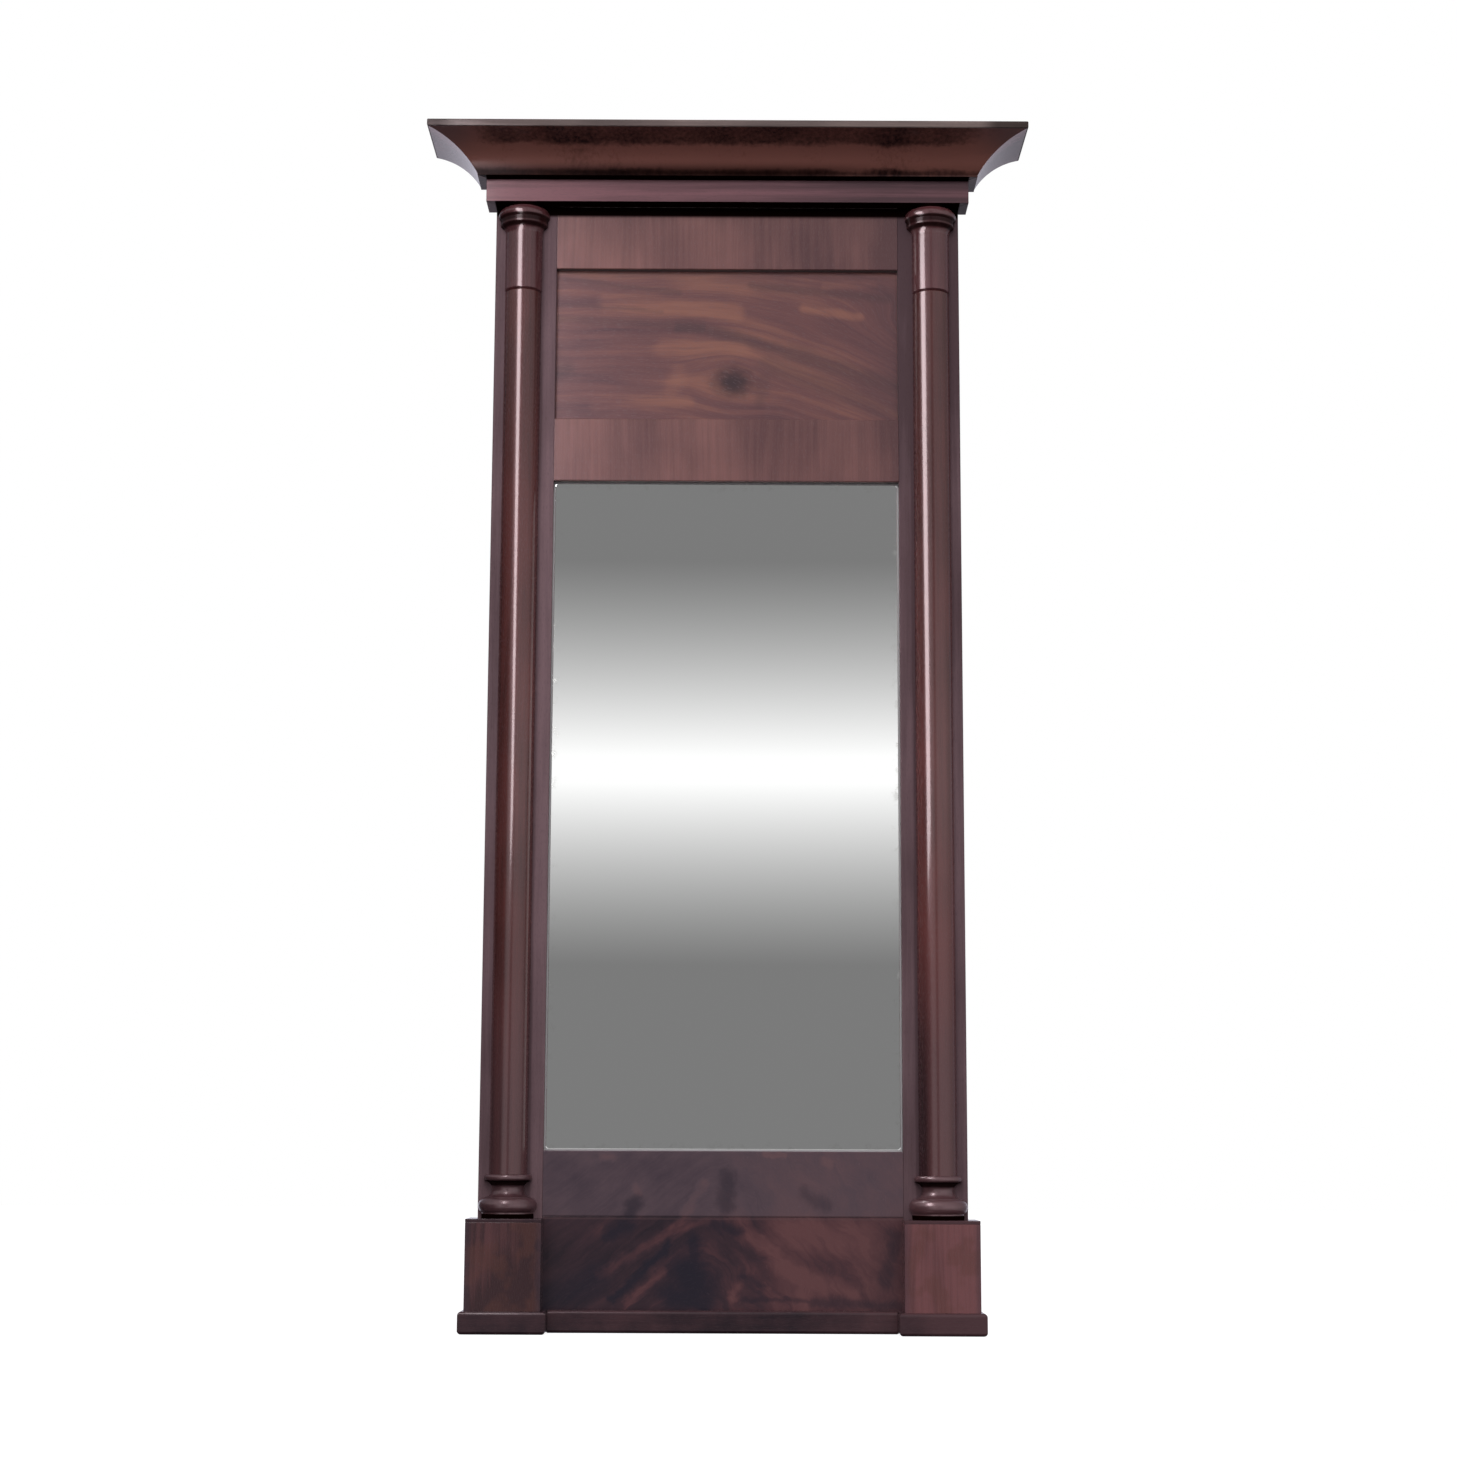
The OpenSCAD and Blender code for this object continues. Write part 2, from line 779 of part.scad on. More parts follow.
module plinth_front_left() { color(mahogany) from_wall() plinth_front(-1); }
module plinth_front_right() { color(mahogany) from_wall() plinth_front(1); }
module plinth_outer_left() { color(mahogany) from_wall() plinth_outer(-1); }
module plinth_outer_right() { color(mahogany) from_wall() plinth_outer(1); }
module plinth_inner_left() { color(mahogany) from_wall() plinth_inner(-1); }
module plinth_inner_right() { color(mahogany) from_wall() plinth_inner(1); }
module plinth_cap_left() { color(dark_mahogany) from_wall() plinth_cap(-1); }
module plinth_cap_right() { color(dark_mahogany) from_wall() plinth_cap(1); }
module plinth_cores() {
    color(pine) from_wall() for (side = [-1, 1])
        on_side(side)
            board([plinth_xi + plinth_board_t, case_x], [frame_t, plinth_back],
                  [base_h, plinth_h - cap_t]);
}

// ---- Base moulding ----

module base_front(side) {
    on_side(side) intersection() {
        translate([(plinth_xi + plinth_xo) / 2, -plinth_d, 0])
            front_run(plinth_w + 2 * base_over) rounded(base_over, base_h, base_round);
        upright([-cut, base_h + cut], [
            [plinth_xi - base_over, plinth_d + base_over],
            [plinth_xo + base_over, plinth_d + base_over],
            [plinth_xo, plinth_d], [plinth_xi, plinth_d]
        ]);
    }
}

module base_outer(side) {
    on_side(side) intersection() {
        translate([plinth_xo, 0, 0]) side_run(plinth_d + base_over)
            rounded(base_over, base_h, base_round);
        upright([-cut, base_h + cut], [
            [plinth_xo, 0], [plinth_xo + base_over, 0],
            [plinth_xo + base_over, plinth_d + base_over], [plinth_xo, plinth_d]
        ]);
    }
}

module base_inner(side) {
    on_side(side) intersection() {
        translate([plinth_xi, 0, 0]) mirror([1, 0, 0])
            side_run(plinth_d + base_over) rounded(base_over, base_h, base_round);
        upright([-cut, base_h + cut], [
            [plinth_xi, frame_t], [plinth_xi - base_over, frame_t],
            [plinth_xi - base_over, plinth_d + base_over], [plinth_xi, plinth_d]
        ]);
    }
}

module base_front_left() { color(dark_mahogany) from_wall() base_front(-1); }
module base_front_right() { color(dark_mahogany) from_wall() base_front(1); }
module base_outer_left() { color(dark_mahogany) from_wall() base_outer(-1); }
module base_outer_right() { color(dark_mahogany) from_wall() base_outer(1); }
module base_inner_left() { color(dark_mahogany) from_wall() base_inner(-1); }
module base_inner_right() { color(dark_mahogany) from_wall() base_inner(1); }
module base_middle() {
    color(dark_mahogany) from_wall()
        translate([0, -frame_t, 0]) front_run(2 * (plinth_xi - base_over))
            rounded(base_mid_d - frame_t, base_h, base_round);
}

// ---- Hanging plates on the head rail's back ----

module at_hangers() {
    for (side = [-1, 1])
        translate([side * hanger_x, 0, hanger_z]) rotate([90, 0, 0]) children();
}

module hanging_screw_set(gap) {
    at_hangers() for (x = [-hanger_screw_x, hanger_screw_x]) translate([x, 0, 0]) {
        cylinder(r = screw_r + gap, h = hanger_screw_l + gap);
        cylinder(r1 = screw_head_r + gap, r2 = screw_r + gap,
                 h = screw_head_h + gap);
    }
}

// The plate's recess, the pocket behind its hole and the screw holes
module hanging_cuts() {
    at_hangers() {
        translate([-hanger_w / 2, -hanger_h / 2, -cut])
            cube([hanger_w, hanger_h, hanger_t + cut]);
        cylinder(r = hook_pocket_r, h = hook_pocket_d);
    }
    hanging_screw_set(pin_gap);
}

module hanging_plates() {
    color(iron) from_wall() difference() {
        at_hangers() difference() {
            translate([-hanger_w / 2, -hanger_h / 2, 0])
                cube([hanger_w, hanger_h, hanger_t]);
            translate([0, 0, -cut]) cylinder(r = hook_r, h = hanger_t + 2 * cut);
        }
        hanging_screw_set(pin_gap);
    }
}
module hanging_screws() { color(iron) from_wall() hanging_screw_set(0); }

// ---- What is drawn ----

stile_left();
stile_right();
bottom_rail();
apron_rail();
mid_rail();
frieze_rail();
head_rail();
frame_pegs();
stile_veneer_left();
stile_veneer_right();
plinth_panel_veneer();
apron_veneer();
mid_rail_veneer();
frieze_veneer();
tablet_panel();
tablet_veneer();
mirror_glass();
glass_packing();
backboard_left();
backboard_middle();
backboard_right();
backboard_tablet();
backboard_nails();
architrave_front();
architrave_left();
architrave_right();
cornice_cove_front();
cornice_cove_left();
cornice_cove_right();
cornice_fillet_front();
cornice_fillet_left();
cornice_fillet_right();
cornice_top_board();
cornice_blocks();
capital_left();
capital_right();
shaft_left();
shaft_right();
column_base_left();
column_base_right();
column_screws();
plinth_front_left();
plinth_front_right();
plinth_outer_left();
plinth_outer_right();
plinth_inner_left();
plinth_inner_right();
plinth_cap_left();
plinth_cap_right();
plinth_cores();
base_front_left();
base_front_right();
base_outer_left();
base_outer_right();
base_inner_left();
base_inner_right();
base_middle();
hanging_plates();
hanging_screws();
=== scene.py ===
# %% [markdown]
# A veneered pier mirror
#
# This lesson dresses a tall pier mirror: a softwood frame under figured mahogany veneer,
# with a coved cornice, two half columns on plinths, a sunk tablet and a bevelled glass.
# The joiner's model already holds every board at its real size, so the lesson is about
# surfaces: soft edges, French-polished wood, a silvered plate and an unpolished back.

# %% Load the joiner's model
import math

import bmesh
import bpy
from mathutils import Matrix, Vector


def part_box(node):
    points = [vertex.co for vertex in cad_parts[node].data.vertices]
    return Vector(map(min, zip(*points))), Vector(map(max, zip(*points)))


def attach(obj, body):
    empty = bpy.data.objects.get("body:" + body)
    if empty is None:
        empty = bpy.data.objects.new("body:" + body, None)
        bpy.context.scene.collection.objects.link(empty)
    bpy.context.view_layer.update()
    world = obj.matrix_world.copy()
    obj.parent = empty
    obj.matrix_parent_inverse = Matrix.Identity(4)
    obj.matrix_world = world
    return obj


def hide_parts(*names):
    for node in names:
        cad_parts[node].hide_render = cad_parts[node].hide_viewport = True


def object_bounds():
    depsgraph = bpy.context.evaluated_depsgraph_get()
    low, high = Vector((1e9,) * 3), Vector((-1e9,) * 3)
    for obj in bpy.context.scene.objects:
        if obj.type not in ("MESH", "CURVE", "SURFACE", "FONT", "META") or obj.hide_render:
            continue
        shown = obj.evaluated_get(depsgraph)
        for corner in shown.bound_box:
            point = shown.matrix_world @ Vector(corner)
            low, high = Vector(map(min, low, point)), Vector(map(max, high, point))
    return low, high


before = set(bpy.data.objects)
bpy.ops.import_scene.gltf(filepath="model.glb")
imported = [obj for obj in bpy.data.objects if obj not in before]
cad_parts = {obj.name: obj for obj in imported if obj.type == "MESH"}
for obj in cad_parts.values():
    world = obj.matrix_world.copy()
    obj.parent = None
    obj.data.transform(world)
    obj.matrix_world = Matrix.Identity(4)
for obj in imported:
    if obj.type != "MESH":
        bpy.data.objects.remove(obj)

CAD_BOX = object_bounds()
WALL_Y = CAD_BOX[1].y
MM = 0.001
print("box of the model, in metres:", [round(v, 4) for corner in CAD_BOX for v in corner])


# %% [markdown]
# Shader maths as Python
#
# A wood needs dozens of small sums: stretch the grain here, bend it there, fade a knot in.
# Written as nodes they hide what is meant, so one small class wraps a socket and takes
# Python's operators, and one maker places every other node. The maths then reads as maths.

# %% A socket that takes Python's operators
def maths(operation, swapped=False):
    """A method that places one maths node, with its own value last if swapped."""
    def method(self, *others):
        values = (*others, self) if swapped else (self, *others)
        return self.maker.node("ShaderNodeMath", *values, operation=operation)
    return method


class Wire:
    """A number, colour or vector that comes out of a node."""

    def __init__(self, maker, socket):
        self.maker = maker
        self.socket = socket

    __add__ = maths("ADD")
    __radd__ = maths("ADD", swapped=True)
    __sub__ = maths("SUBTRACT")
    __rsub__ = maths("SUBTRACT", swapped=True)
    __mul__ = maths("MULTIPLY")
    __rmul__ = maths("MULTIPLY", swapped=True)
    __truediv__ = maths("DIVIDE")
    __pow__ = maths("POWER")
    absolute = maths("ABSOLUTE")
    sine = maths("SINE")
    larger = maths("MAXIMUM")
    smaller = maths("MINIMUM")


# %% A maker of nodes
class Maker:
    """Places nodes in one tree. Settings go first, then values and links."""

    def __init__(self, tree):
        self.tree = tree
        tree.nodes.clear()

    def node(self, kind, *values, output=0, stops=None, named=None, **settings):
        node = self.tree.nodes.new(kind)
        for name, value in settings.items():
            setattr(node, name, value)
        if stops:
            self.set_stops(node.color_ramp, stops)
        for index, value in enumerate(values):
            self.feed(node.inputs[index], value)
        for name, value in (named or {}).items():
            self.feed(node.inputs[name], value)
        return Wire(self, node.outputs[output]) if node.outputs else node

    def feed(self, socket, value):
        if value is None:
            return
        if isinstance(value, Wire):
            self.tree.links.new(value.socket, socket)
        else:
            socket.default_value = value

    def set_stops(self, ramp, stops):
        while len(ramp.elements) > 1:
            ramp.elements.remove(ramp.elements[-1])
        ramp.elements[0].position = stops[0][0]
        ramp.elements[0].color = (*stops[0][1], 1)
        for place, colour in stops[1:]:
            ramp.elements.new(place).color = (*colour, 1)

    def vector(self, x, y, z):
        return self.node("ShaderNodeCombineXYZ", x, y, z)

    def noise(self, x, y, z, detail=3.0, roughness=0.55, distortion=0.0):
        sizes = {"Scale": 1.0, "Detail": detail, "Roughness": roughness, "Distortion": distortion}
        return self.node("ShaderNodeTexNoise", named={"Vector": self.vector(x, y, z), **sizes})

    def fade(self, value, start, end, low=0.0, high=1.0):
        """Runs smoothly from low to high while value runs from start to end."""
        return self.node("ShaderNodeMapRange", value, start, end, low, high,
                         interpolation_type="SMOOTHSTEP")

    def between(self, value, start, full, fall, end):
        """1 from full to fall, and 0 before start and past end."""
        return self.fade(value, start, full) * self.fade(value, end, fall)

    def line(self, value, middle, outer, inner, strength=1.0):
        """A soft line: full strength within inner of its middle, and nothing past outer."""
        return self.fade((value - middle).absolute(), outer, inner, 0.0, strength)

    def ramp(self, value, stops):
        return self.node("ShaderNodeValToRGB", value, stops=stops)

    def blend(self, factor, first, second):
        """Mixes two colours."""
        node = self.tree.nodes.new("ShaderNodeMix")
        node.data_type = "RGBA"
        for index, value in ((0, factor), (6, first), (7, second)):
            if isinstance(value, tuple):
                value = (*value, 1)
            self.feed(node.inputs[index], value)
        return Wire(self, node.outputs[2])

    def bump(self, height, distance, strength, under=None):
        sizes = {"Strength": strength, "Distance": distance, "Height": height, "Normal": under}
        return self.node("ShaderNodeBump", named=sizes)


# %% The start and the end of a material
# A dull near-black layer, used mostly as painted shade under mouldings and in corners.
SHADE_AND_DIRT_BLACK = (0.006, 0.0016, 0.001, 1)


def new_material(name):
    material = bpy.data.materials.new(name)
    material.use_nodes = True
    return material, Maker(material.node_tree)


def finish_material(maker, material, shade_and_dirt=None, **sockets):
    """Ends a tree in a Principled shader with these values, under any dull near-black layer, mostly
    painted shade.
    """
    named = {name.replace("_", " "): value for name, value in sockets.items()}
    shader = maker.node("ShaderNodeBsdfPrincipled", named=named)
    if shade_and_dirt is not None:
        shade_and_grime = maker.node("ShaderNodeBsdfDiffuse", SHADE_AND_DIRT_BLACK, 1.0)
        shader = maker.node("ShaderNodeMixShader", shade_and_dirt, shader, shade_and_grime)
    maker.node("ShaderNodeOutputMaterial", shader)
    return material


def place(maker):
    """The surface's own x, y and z in metres."""
    split = maker.node("ShaderNodeSeparateXYZ", maker.node("ShaderNodeTexCoord", output=3))
    return [Wire(maker, output) for output in split.socket.node.outputs]


# %% [markdown]
# Mahogany under French polish
#
# Mahogany is read in three scales. Wide ribbons and clouds change slowly over a hand's
# breadth, streaks a few millimetres wide run along the grain, and pores are short dark
# scratches that are barely seen. The polish lies over them as a clear coat, and the veneer
# under it is never quite flat, which is why its reflections swim a little.

# %% The grain at three scales
STREAK = 5 * MM
STREAK_RUN = 160 * MM
FIBRE = 0.9 * MM
FIBRE_RUN = 45 * MM
PORE = 0.45 * MM
PORE_RUN = 7 * MM
CLOUD = 90 * MM
SEED_SHIFT = 3.7


def grain(maker, across, depth, along, seed):
    """Streaks, fibres, pores and clouds, each from 0 to 1, for grain along one direction."""
    shift = seed * SEED_SHIFT
    streaks = maker.noise(across / STREAK + shift, depth / STREAK, along / STREAK_RUN,
                          detail=4.0, distortion=0.3)
    fibres = maker.noise(across / FIBRE, depth / FIBRE + shift, along / FIBRE_RUN, detail=2.0)
    pores = maker.noise(across / PORE, depth / PORE, along / PORE_RUN + shift, detail=1.0)
    clouds = maker.noise(across / CLOUD + shift, depth / CLOUD, along / (2 * CLOUD),
                         detail=3.0, roughness=0.5)
    return streaks, fibres, maker.fade(pores, 0.58, 0.7), clouds


# %% The polish
SWELL = 60 * MM
SWELL_HEIGHT = 0.4 * MM
PORE_DEPTH = 0.02 * MM
SHELLAC_IOR = 1.5
SHELLAC_ROUGHNESS = 0.11
SHELLAC_TINT = (1.0, 0.72, 0.78, 1)


def polish(maker, material, colour, pores, shade_and_dirt=None, gloss=0.24, coat=0.5, shine=0.5):
    """French polish over a coloured veneer: a clear coat over wood that swells a little.

    gloss is the wood's own roughness, coat the weight of the clear coat, and shine how much
    the wood under it reflects.
    """
    x, y, z = place(maker)
    swell = maker.noise(x / SWELL, y / SWELL, z / SWELL, detail=1.0)
    waves = maker.bump(swell, SWELL_HEIGHT, strength=0.3)
    surface = maker.bump(pores, -PORE_DEPTH, strength=0.3, under=waves)
    return finish_material(
        maker, material, shade_and_dirt=shade_and_dirt, Base_Color=colour, Roughness=gloss + pores * 0.2,
        Normal=surface, Coat_Weight=coat, Coat_Roughness=SHELLAC_ROUGHNESS, IOR=SHELLAC_IOR,
        Coat_IOR=SHELLAC_IOR, Specular_IOR_Level=shine, Specular_Tint=SHELLAC_TINT)


# %% Straight-grained mahogany
WANDER = 14 * MM
STREAK_SHARE = 2.2
CLOUD_SHARE = 2.6
FIBRE_SHARE = 0.22
PORE_SHARE = 0.3
PORE_TONE = 0.45


def mahogany(name, seed, dark, light, direction="z", streaky=0.4, cloudy=0.55, shade_and_dirt=None,
             shade=None, over=None, **finish):
    """Straight-grained mahogany between two colours, its grain along x or z.

    The dark layer, shade and over are functions of the maker and the place: where a dull
    near-black layer of mostly painted shade lies, what is added to the tone, painted light and
    shade among it, and which colours lie over the wood's own, each with its strength.
    """
    material, maker = new_material(name)
    x, y, z = place(maker)
    across, along = (x, z) if direction == "z" else (z, x)
    wander = maker.noise(across / CLOUD, seed, along / (3 * CLOUD), detail=1.0)
    across = across + (wander - 0.5) * WANDER
    streaks, fibres, pores, clouds = grain(maker, across, y, along, seed)
    tone = (streaks - 0.5) * streaky * STREAK_SHARE + (clouds - 0.5) * cloudy * CLOUD_SHARE
    tone = tone + (fibres - 0.5) * FIBRE_SHARE + 0.5
    if shade:
        tone = tone + shade(maker, x, y, z)
    middle = tuple(0.55 * a + 0.45 * b for a, b in zip(dark, light))
    colour = maker.ramp(tone, [(0.1, dark), (0.5, middle), (0.95, light)])
    for strength, cast in over(maker, x, y, z) if over else []:
        colour = maker.blend(strength, colour, cast)
    in_pores = tuple(PORE_TONE * value for value in dark)
    colour = maker.blend(pores * PORE_SHARE, colour, in_pores)
    shade_and_grime = shade_and_dirt(maker, x, y, z) if shade_and_dirt else None
    return polish(maker, material, colour, pores, shade_and_dirt=shade_and_grime, **finish)


# %% [markdown]
# Painted shade and painted light
#
# Much of what looks old on this piece is painted shade and painted light: painted shade under
# the mouldings, in the corners and beside the shafts, painted light on the left, down the shafts
# and in the cove, and painted highlights along the mitres and the top of the base. Painting a
# mask by hand would do, but these places follow from the piece itself, so each function below
# measures them from the model's own levels and sides.

# %% Levels and sides to measure from
BAND_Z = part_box("architrave_front")[0].z
COVE_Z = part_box("cornice_cove_front")[0].z
BASE_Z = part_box("column_base_left")[0].z
PLINTH_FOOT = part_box("base_front_left")[1].z
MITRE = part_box("cornice_fillet_front")[1].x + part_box("cornice_fillet_front")[0].y
SIDE_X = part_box("stile_right")[1].x
SHAFT_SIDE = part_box("shaft_right")[0].x
PLINTH_MIDDLE = (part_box("plinth_front_right")[0].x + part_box("plinth_front_right")[1].x) / 2
RIGHT_HALF = (-100 * MM, 100 * MM)
RIGHT_SIDE = (100 * MM, 200 * MM)
print("levels of band, cove, column base and plinth, in metres:",
      [round(level, 4) for level in (BAND_Z, COVE_Z, BASE_Z, PLINTH_FOOT)])


# Painted light: lighter on the left and darker on the right, as if lit from the left.
def left_is_lighter(maker, x):
    return maker.fade(x, -280 * MM, 260 * MM, 0.2, -0.22)


# %% Stiles and rails
def shadow_under_band(maker, x, y, z):
    """Painted shadow that the architrave casts on the stiles and rails just under it."""
    return maker.fade(z, BAND_Z - 15 * MM, BAND_Z - 10 * MM)


def stile_shade(maker, x, y, z):
    """Painted shade beside the shafts, a darker right stile high up, and a paler inner left."""
    gap = SHAFT_SIDE - x.absolute()
    beside_shaft = maker.between(gap, -20 * MM, -10 * MM, 1 * MM, 5 * MM)
    high_right = maker.fade(x, *RIGHT_SIDE) * maker.fade(z, 1000 * MM, 1200 * MM)
    high_right = high_right * maker.fade(x, 240 * MM, 270 * MM, 0.62, 0.36)
    inner_left = maker.fade(x.absolute(), 235 * MM, 225 * MM) * maker.fade(x, 100 * MM, 0.0)
    inner_left = inner_left * maker.fade(z, 1000 * MM, 1250 * MM, 0.33, 0.18)
    return beside_shaft * -0.5 - high_right + inner_left


def rail_shade(maker, x, y, z):
    """Lighter on the left by painted light, lighter in the middle, and darker at both ends."""
    middle = maker.fade(x.absolute(), 140 * MM, 0.0, 0.0, 0.14)
    ends = maker.fade(x, 165 * MM, 210 * MM) * 0.3 + maker.fade(x, -80 * MM, -160 * MM) * 0.1
    return left_is_lighter(maker, x) + middle - ends


# %% The band
OUTSIDE_SHADE = 0.62


def underside(maker, x, z, level, past):
    """Painted shade under a moulding at this level, with less of it further out than past the case."""
    low = maker.fade(z, level + 0.7 * MM, level + 0.3 * MM)
    outside = SIDE_X + past
    return low * maker.fade(x.absolute(), outside, outside - 2 * MM, OUTSIDE_SHADE, 1.0)


def band_underside_shade(maker, x, y, z):
    """Painted shade under the band, and above it in the corner under the cove."""
    corner = maker.fade(z, COVE_Z - 2.2 * MM, COVE_Z - 1.4 * MM)
    return underside(maker, x, z, BAND_Z, 2 * MM).larger(corner)


def band_shade(maker, x, y, z):
    """A pale streak along the middle; painted light on the left, and a darker right end."""
    streak = maker.line(z, BAND_Z + 12 * MM, 7 * MM, 1 * MM, strength=0.3)
    side = left_is_lighter(maker, x) * 1.6 - maker.fade(x, 100 * MM, 260 * MM) * 0.12
    return streak + side


# %% The cove, its returns and the fillet
COVE_PATCH = 45 * MM
COVE_PATCH_HIGH = 12 * MM
COVE_RAGGED = 9 * MM
GREY_REFLECTION = (0.12, 0.085, 0.09)


# Painted shade under the lip of the cove.
def cove_underside(maker, x, y, z):
    return underside(maker, x, z, COVE_Z, 13 * MM)


def cove_foot_shade(maker, x, y, z):
    """Painted shade that dulls the foot of the cove and its reflection, less of it on the right."""
    foot = maker.fade(z, COVE_Z + 17 * MM, COVE_Z + 4 * MM)
    foot = foot * maker.fade(x, 50 * MM, 250 * MM, 0.88, 0.35)
    return foot.larger(cove_underside(maker, x, y, z))


def cove_shade(maker, x, y, z):
    """Painted light along the middle of the cove, with ragged borders, and at its upper ends."""
    patches = maker.noise(x / COVE_PATCH, 5.0, z / COVE_PATCH_HIGH)
    height = z + (patches - 0.5) * COVE_RAGGED
    middle = maker.between(height, COVE_Z + 4 * MM, COVE_Z + 10 * MM, COVE_Z + 27 * MM,
                           COVE_Z + 33 * MM)
    high = maker.fade(z, COVE_Z + 12 * MM, COVE_Z + 30 * MM) * (1.0 - middle)
    ends = maker.fade(x.absolute(), 270 * MM, 330 * MM) * (0.1 + high * 0.5)
    return middle * 0.7 - 0.14 + ends


def cove_casts(maker, x, y, z):
    """A painted grey reflection on the upper ends of the cove."""
    end = maker.fade(x.absolute(), 290 * MM, 350 * MM)
    end = end * maker.fade(z, COVE_Z + 14 * MM, COVE_Z + 36 * MM)
    return [(end * 0.55, GREY_REFLECTION)]


def mitre_light(maker, x, y, z):
    """A painted highlight makes the returns palest at the mitre, and darker further out."""
    out = x.absolute() + y - MITRE
    pale_edge = maker.fade(out, 6 * MM, 0.3 * MM) * 0.75
    return pale_edge + maker.fade(out, 40 * MM, 4 * MM, -0.4, 0.1)


def dark_ends(maker, x, y, z):
    """The top fillet is darker and duller at both ends, further in on the right."""
    right_end = maker.fade(x, 305 * MM, 330 * MM, 0.0, 0.66)
    return right_end.larger(maker.fade(x, -325 * MM, -355 * MM, 0.0, 0.55))


# %% The columns
GREYISH_FOOT = (0.074, 0.044, 0.053)
NEARLY_BLACK = (0.012, 0.006, 0.009)


def capital_undersides_shade(maker, x, y, z):
    """Painted shade on the disc above the lip, and under the lip on the torus and hollow, less on the
    ring.
    """
    disc = maker.fade(z, BAND_Z - 6.4 * MM, BAND_Z - 5.6 * MM)
    below = maker.between(z, BAND_Z - 33 * MM, BAND_Z - 30.5 * MM, BAND_Z - 18 * MM,
                          BAND_Z - 16 * MM)
    ring = maker.line(z, BAND_Z - 26.5 * MM, 2.2 * MM, 1 * MM)
    return disc.larger(below * (0.8 - ring * 0.3))


def capital_shade(maker, x, y, z):
    """The right capital is the lighter one."""
    return maker.fade(x, *RIGHT_HALF, 0.12, 0.35)


def shaft_shade(maker, x, y, z):
    """Painted light: both shafts get lighter downwards, the right one more and from higher up."""
    right = maker.fade(x, *RIGHT_HALF)
    paler = maker.fade(z, 900 * MM, 250 * MM, 0.0, 0.3) * (0.2 + 0.9 * right)
    return paler + right * maker.fade(z, 1100 * MM, 700 * MM, 0.0, 0.15)


def shaft_casts(maker, x, y, z):
    """The shafts turn greyish near the foot, and painted shade makes the left side of the right one
    nearly black there.
    """
    foot = maker.fade(z, 500 * MM, 250 * MM)
    left_side = maker.fade(x, 244 * MM, 236 * MM) * maker.fade(x, *RIGHT_SIDE)
    return [(foot * 0.5, GREYISH_FOOT), (left_side * foot * 0.7, NEARLY_BLACK)]


def column_base_shadows(maker, x, y, z):
    """Painted shadow under the torus and under the disc that carries the shaft."""
    foot = maker.fade(z, BASE_Z + 5.6 * MM, BASE_Z + 4.8 * MM)
    hollow = maker.between(z, BASE_Z + 36 * MM, BASE_Z + 39 * MM, BASE_Z + 43 * MM,
                           BASE_Z + 43.4 * MM)
    return foot.larger(hollow * 0.9)


def column_base_shade(maker, x, y, z):
    """The right column base is the lighter one."""
    return maker.fade(x, *RIGHT_HALF, 0.0, 0.55)


# %% The plinths and the base moulding
WORN_PATCH = 30 * MM
TONGUE_X = -258 * MM
TONGUE_Z = 80 * MM
TONGUE_LEAN = 0.2
TONGUE_HALF = 22 * MM
WARM_PATCH = 30 * MM
WARM_PATCH_HIGH = 35 * MM
ORANGE_PATCH = (0.13, 0.045, 0.032)
BLUISH_EDGE = (0.05, 0.035, 0.055)


def base_top_highlight(maker, x, y, z):
    """A painted highlight runs along the top edge of the base moulding, and dark patches stand along
    it.
    """
    patches = maker.noise(x / WORN_PATCH, 2.0, z / WORN_PATCH)
    pale_edge = maker.fade(z, PLINTH_FOOT - 2.2 * MM, PLINTH_FOOT - 0.6 * MM)
    pale_edge = pale_edge * maker.fade(x, -220 * MM, 100 * MM, 0.15, 0.55)
    right = maker.fade(x, 100 * MM, 260 * MM, -0.1, 0.55)
    left_end = maker.fade(x, -300 * MM, -325 * MM) * 0.5
    return pale_edge + (patches - 0.5) * 1.1 + right - left_end


def plinth_shade(maker, x, y, z):
    """The right plinth is lighter, and a dark tongue of figure stands in the left one."""
    tongue = ((x - TONGUE_X + (z - TONGUE_Z) * TONGUE_LEAN) / TONGUE_HALF).absolute()
    tongue = maker.fade(tongue, 1.2, 0.2) * maker.fade(z, 115 * MM, 55 * MM)
    foot = maker.fade(z, 70 * MM, 30 * MM) * maker.fade(x, 0.0, -200 * MM)
    return maker.fade(x, -200 * MM, 200 * MM, -0.28, 0.38) - tongue * 0.45 - foot * 0.32


def plinth_casts(maker, x, y, z):
    """Orange patches on the plinths, and a bluish tint along their edges."""
    warm = maker.noise(x / WARM_PATCH, 6.0, z / WARM_PATCH_HIGH, detail=2.0)
    edge = maker.fade((x.absolute() - PLINTH_MIDDLE).absolute(), 34 * MM, 44 * MM)
    return [(maker.fade(warm, 0.45, 0.62) * 0.4, ORANGE_PATCH), (edge * 0.4, BLUISH_EDGE)]


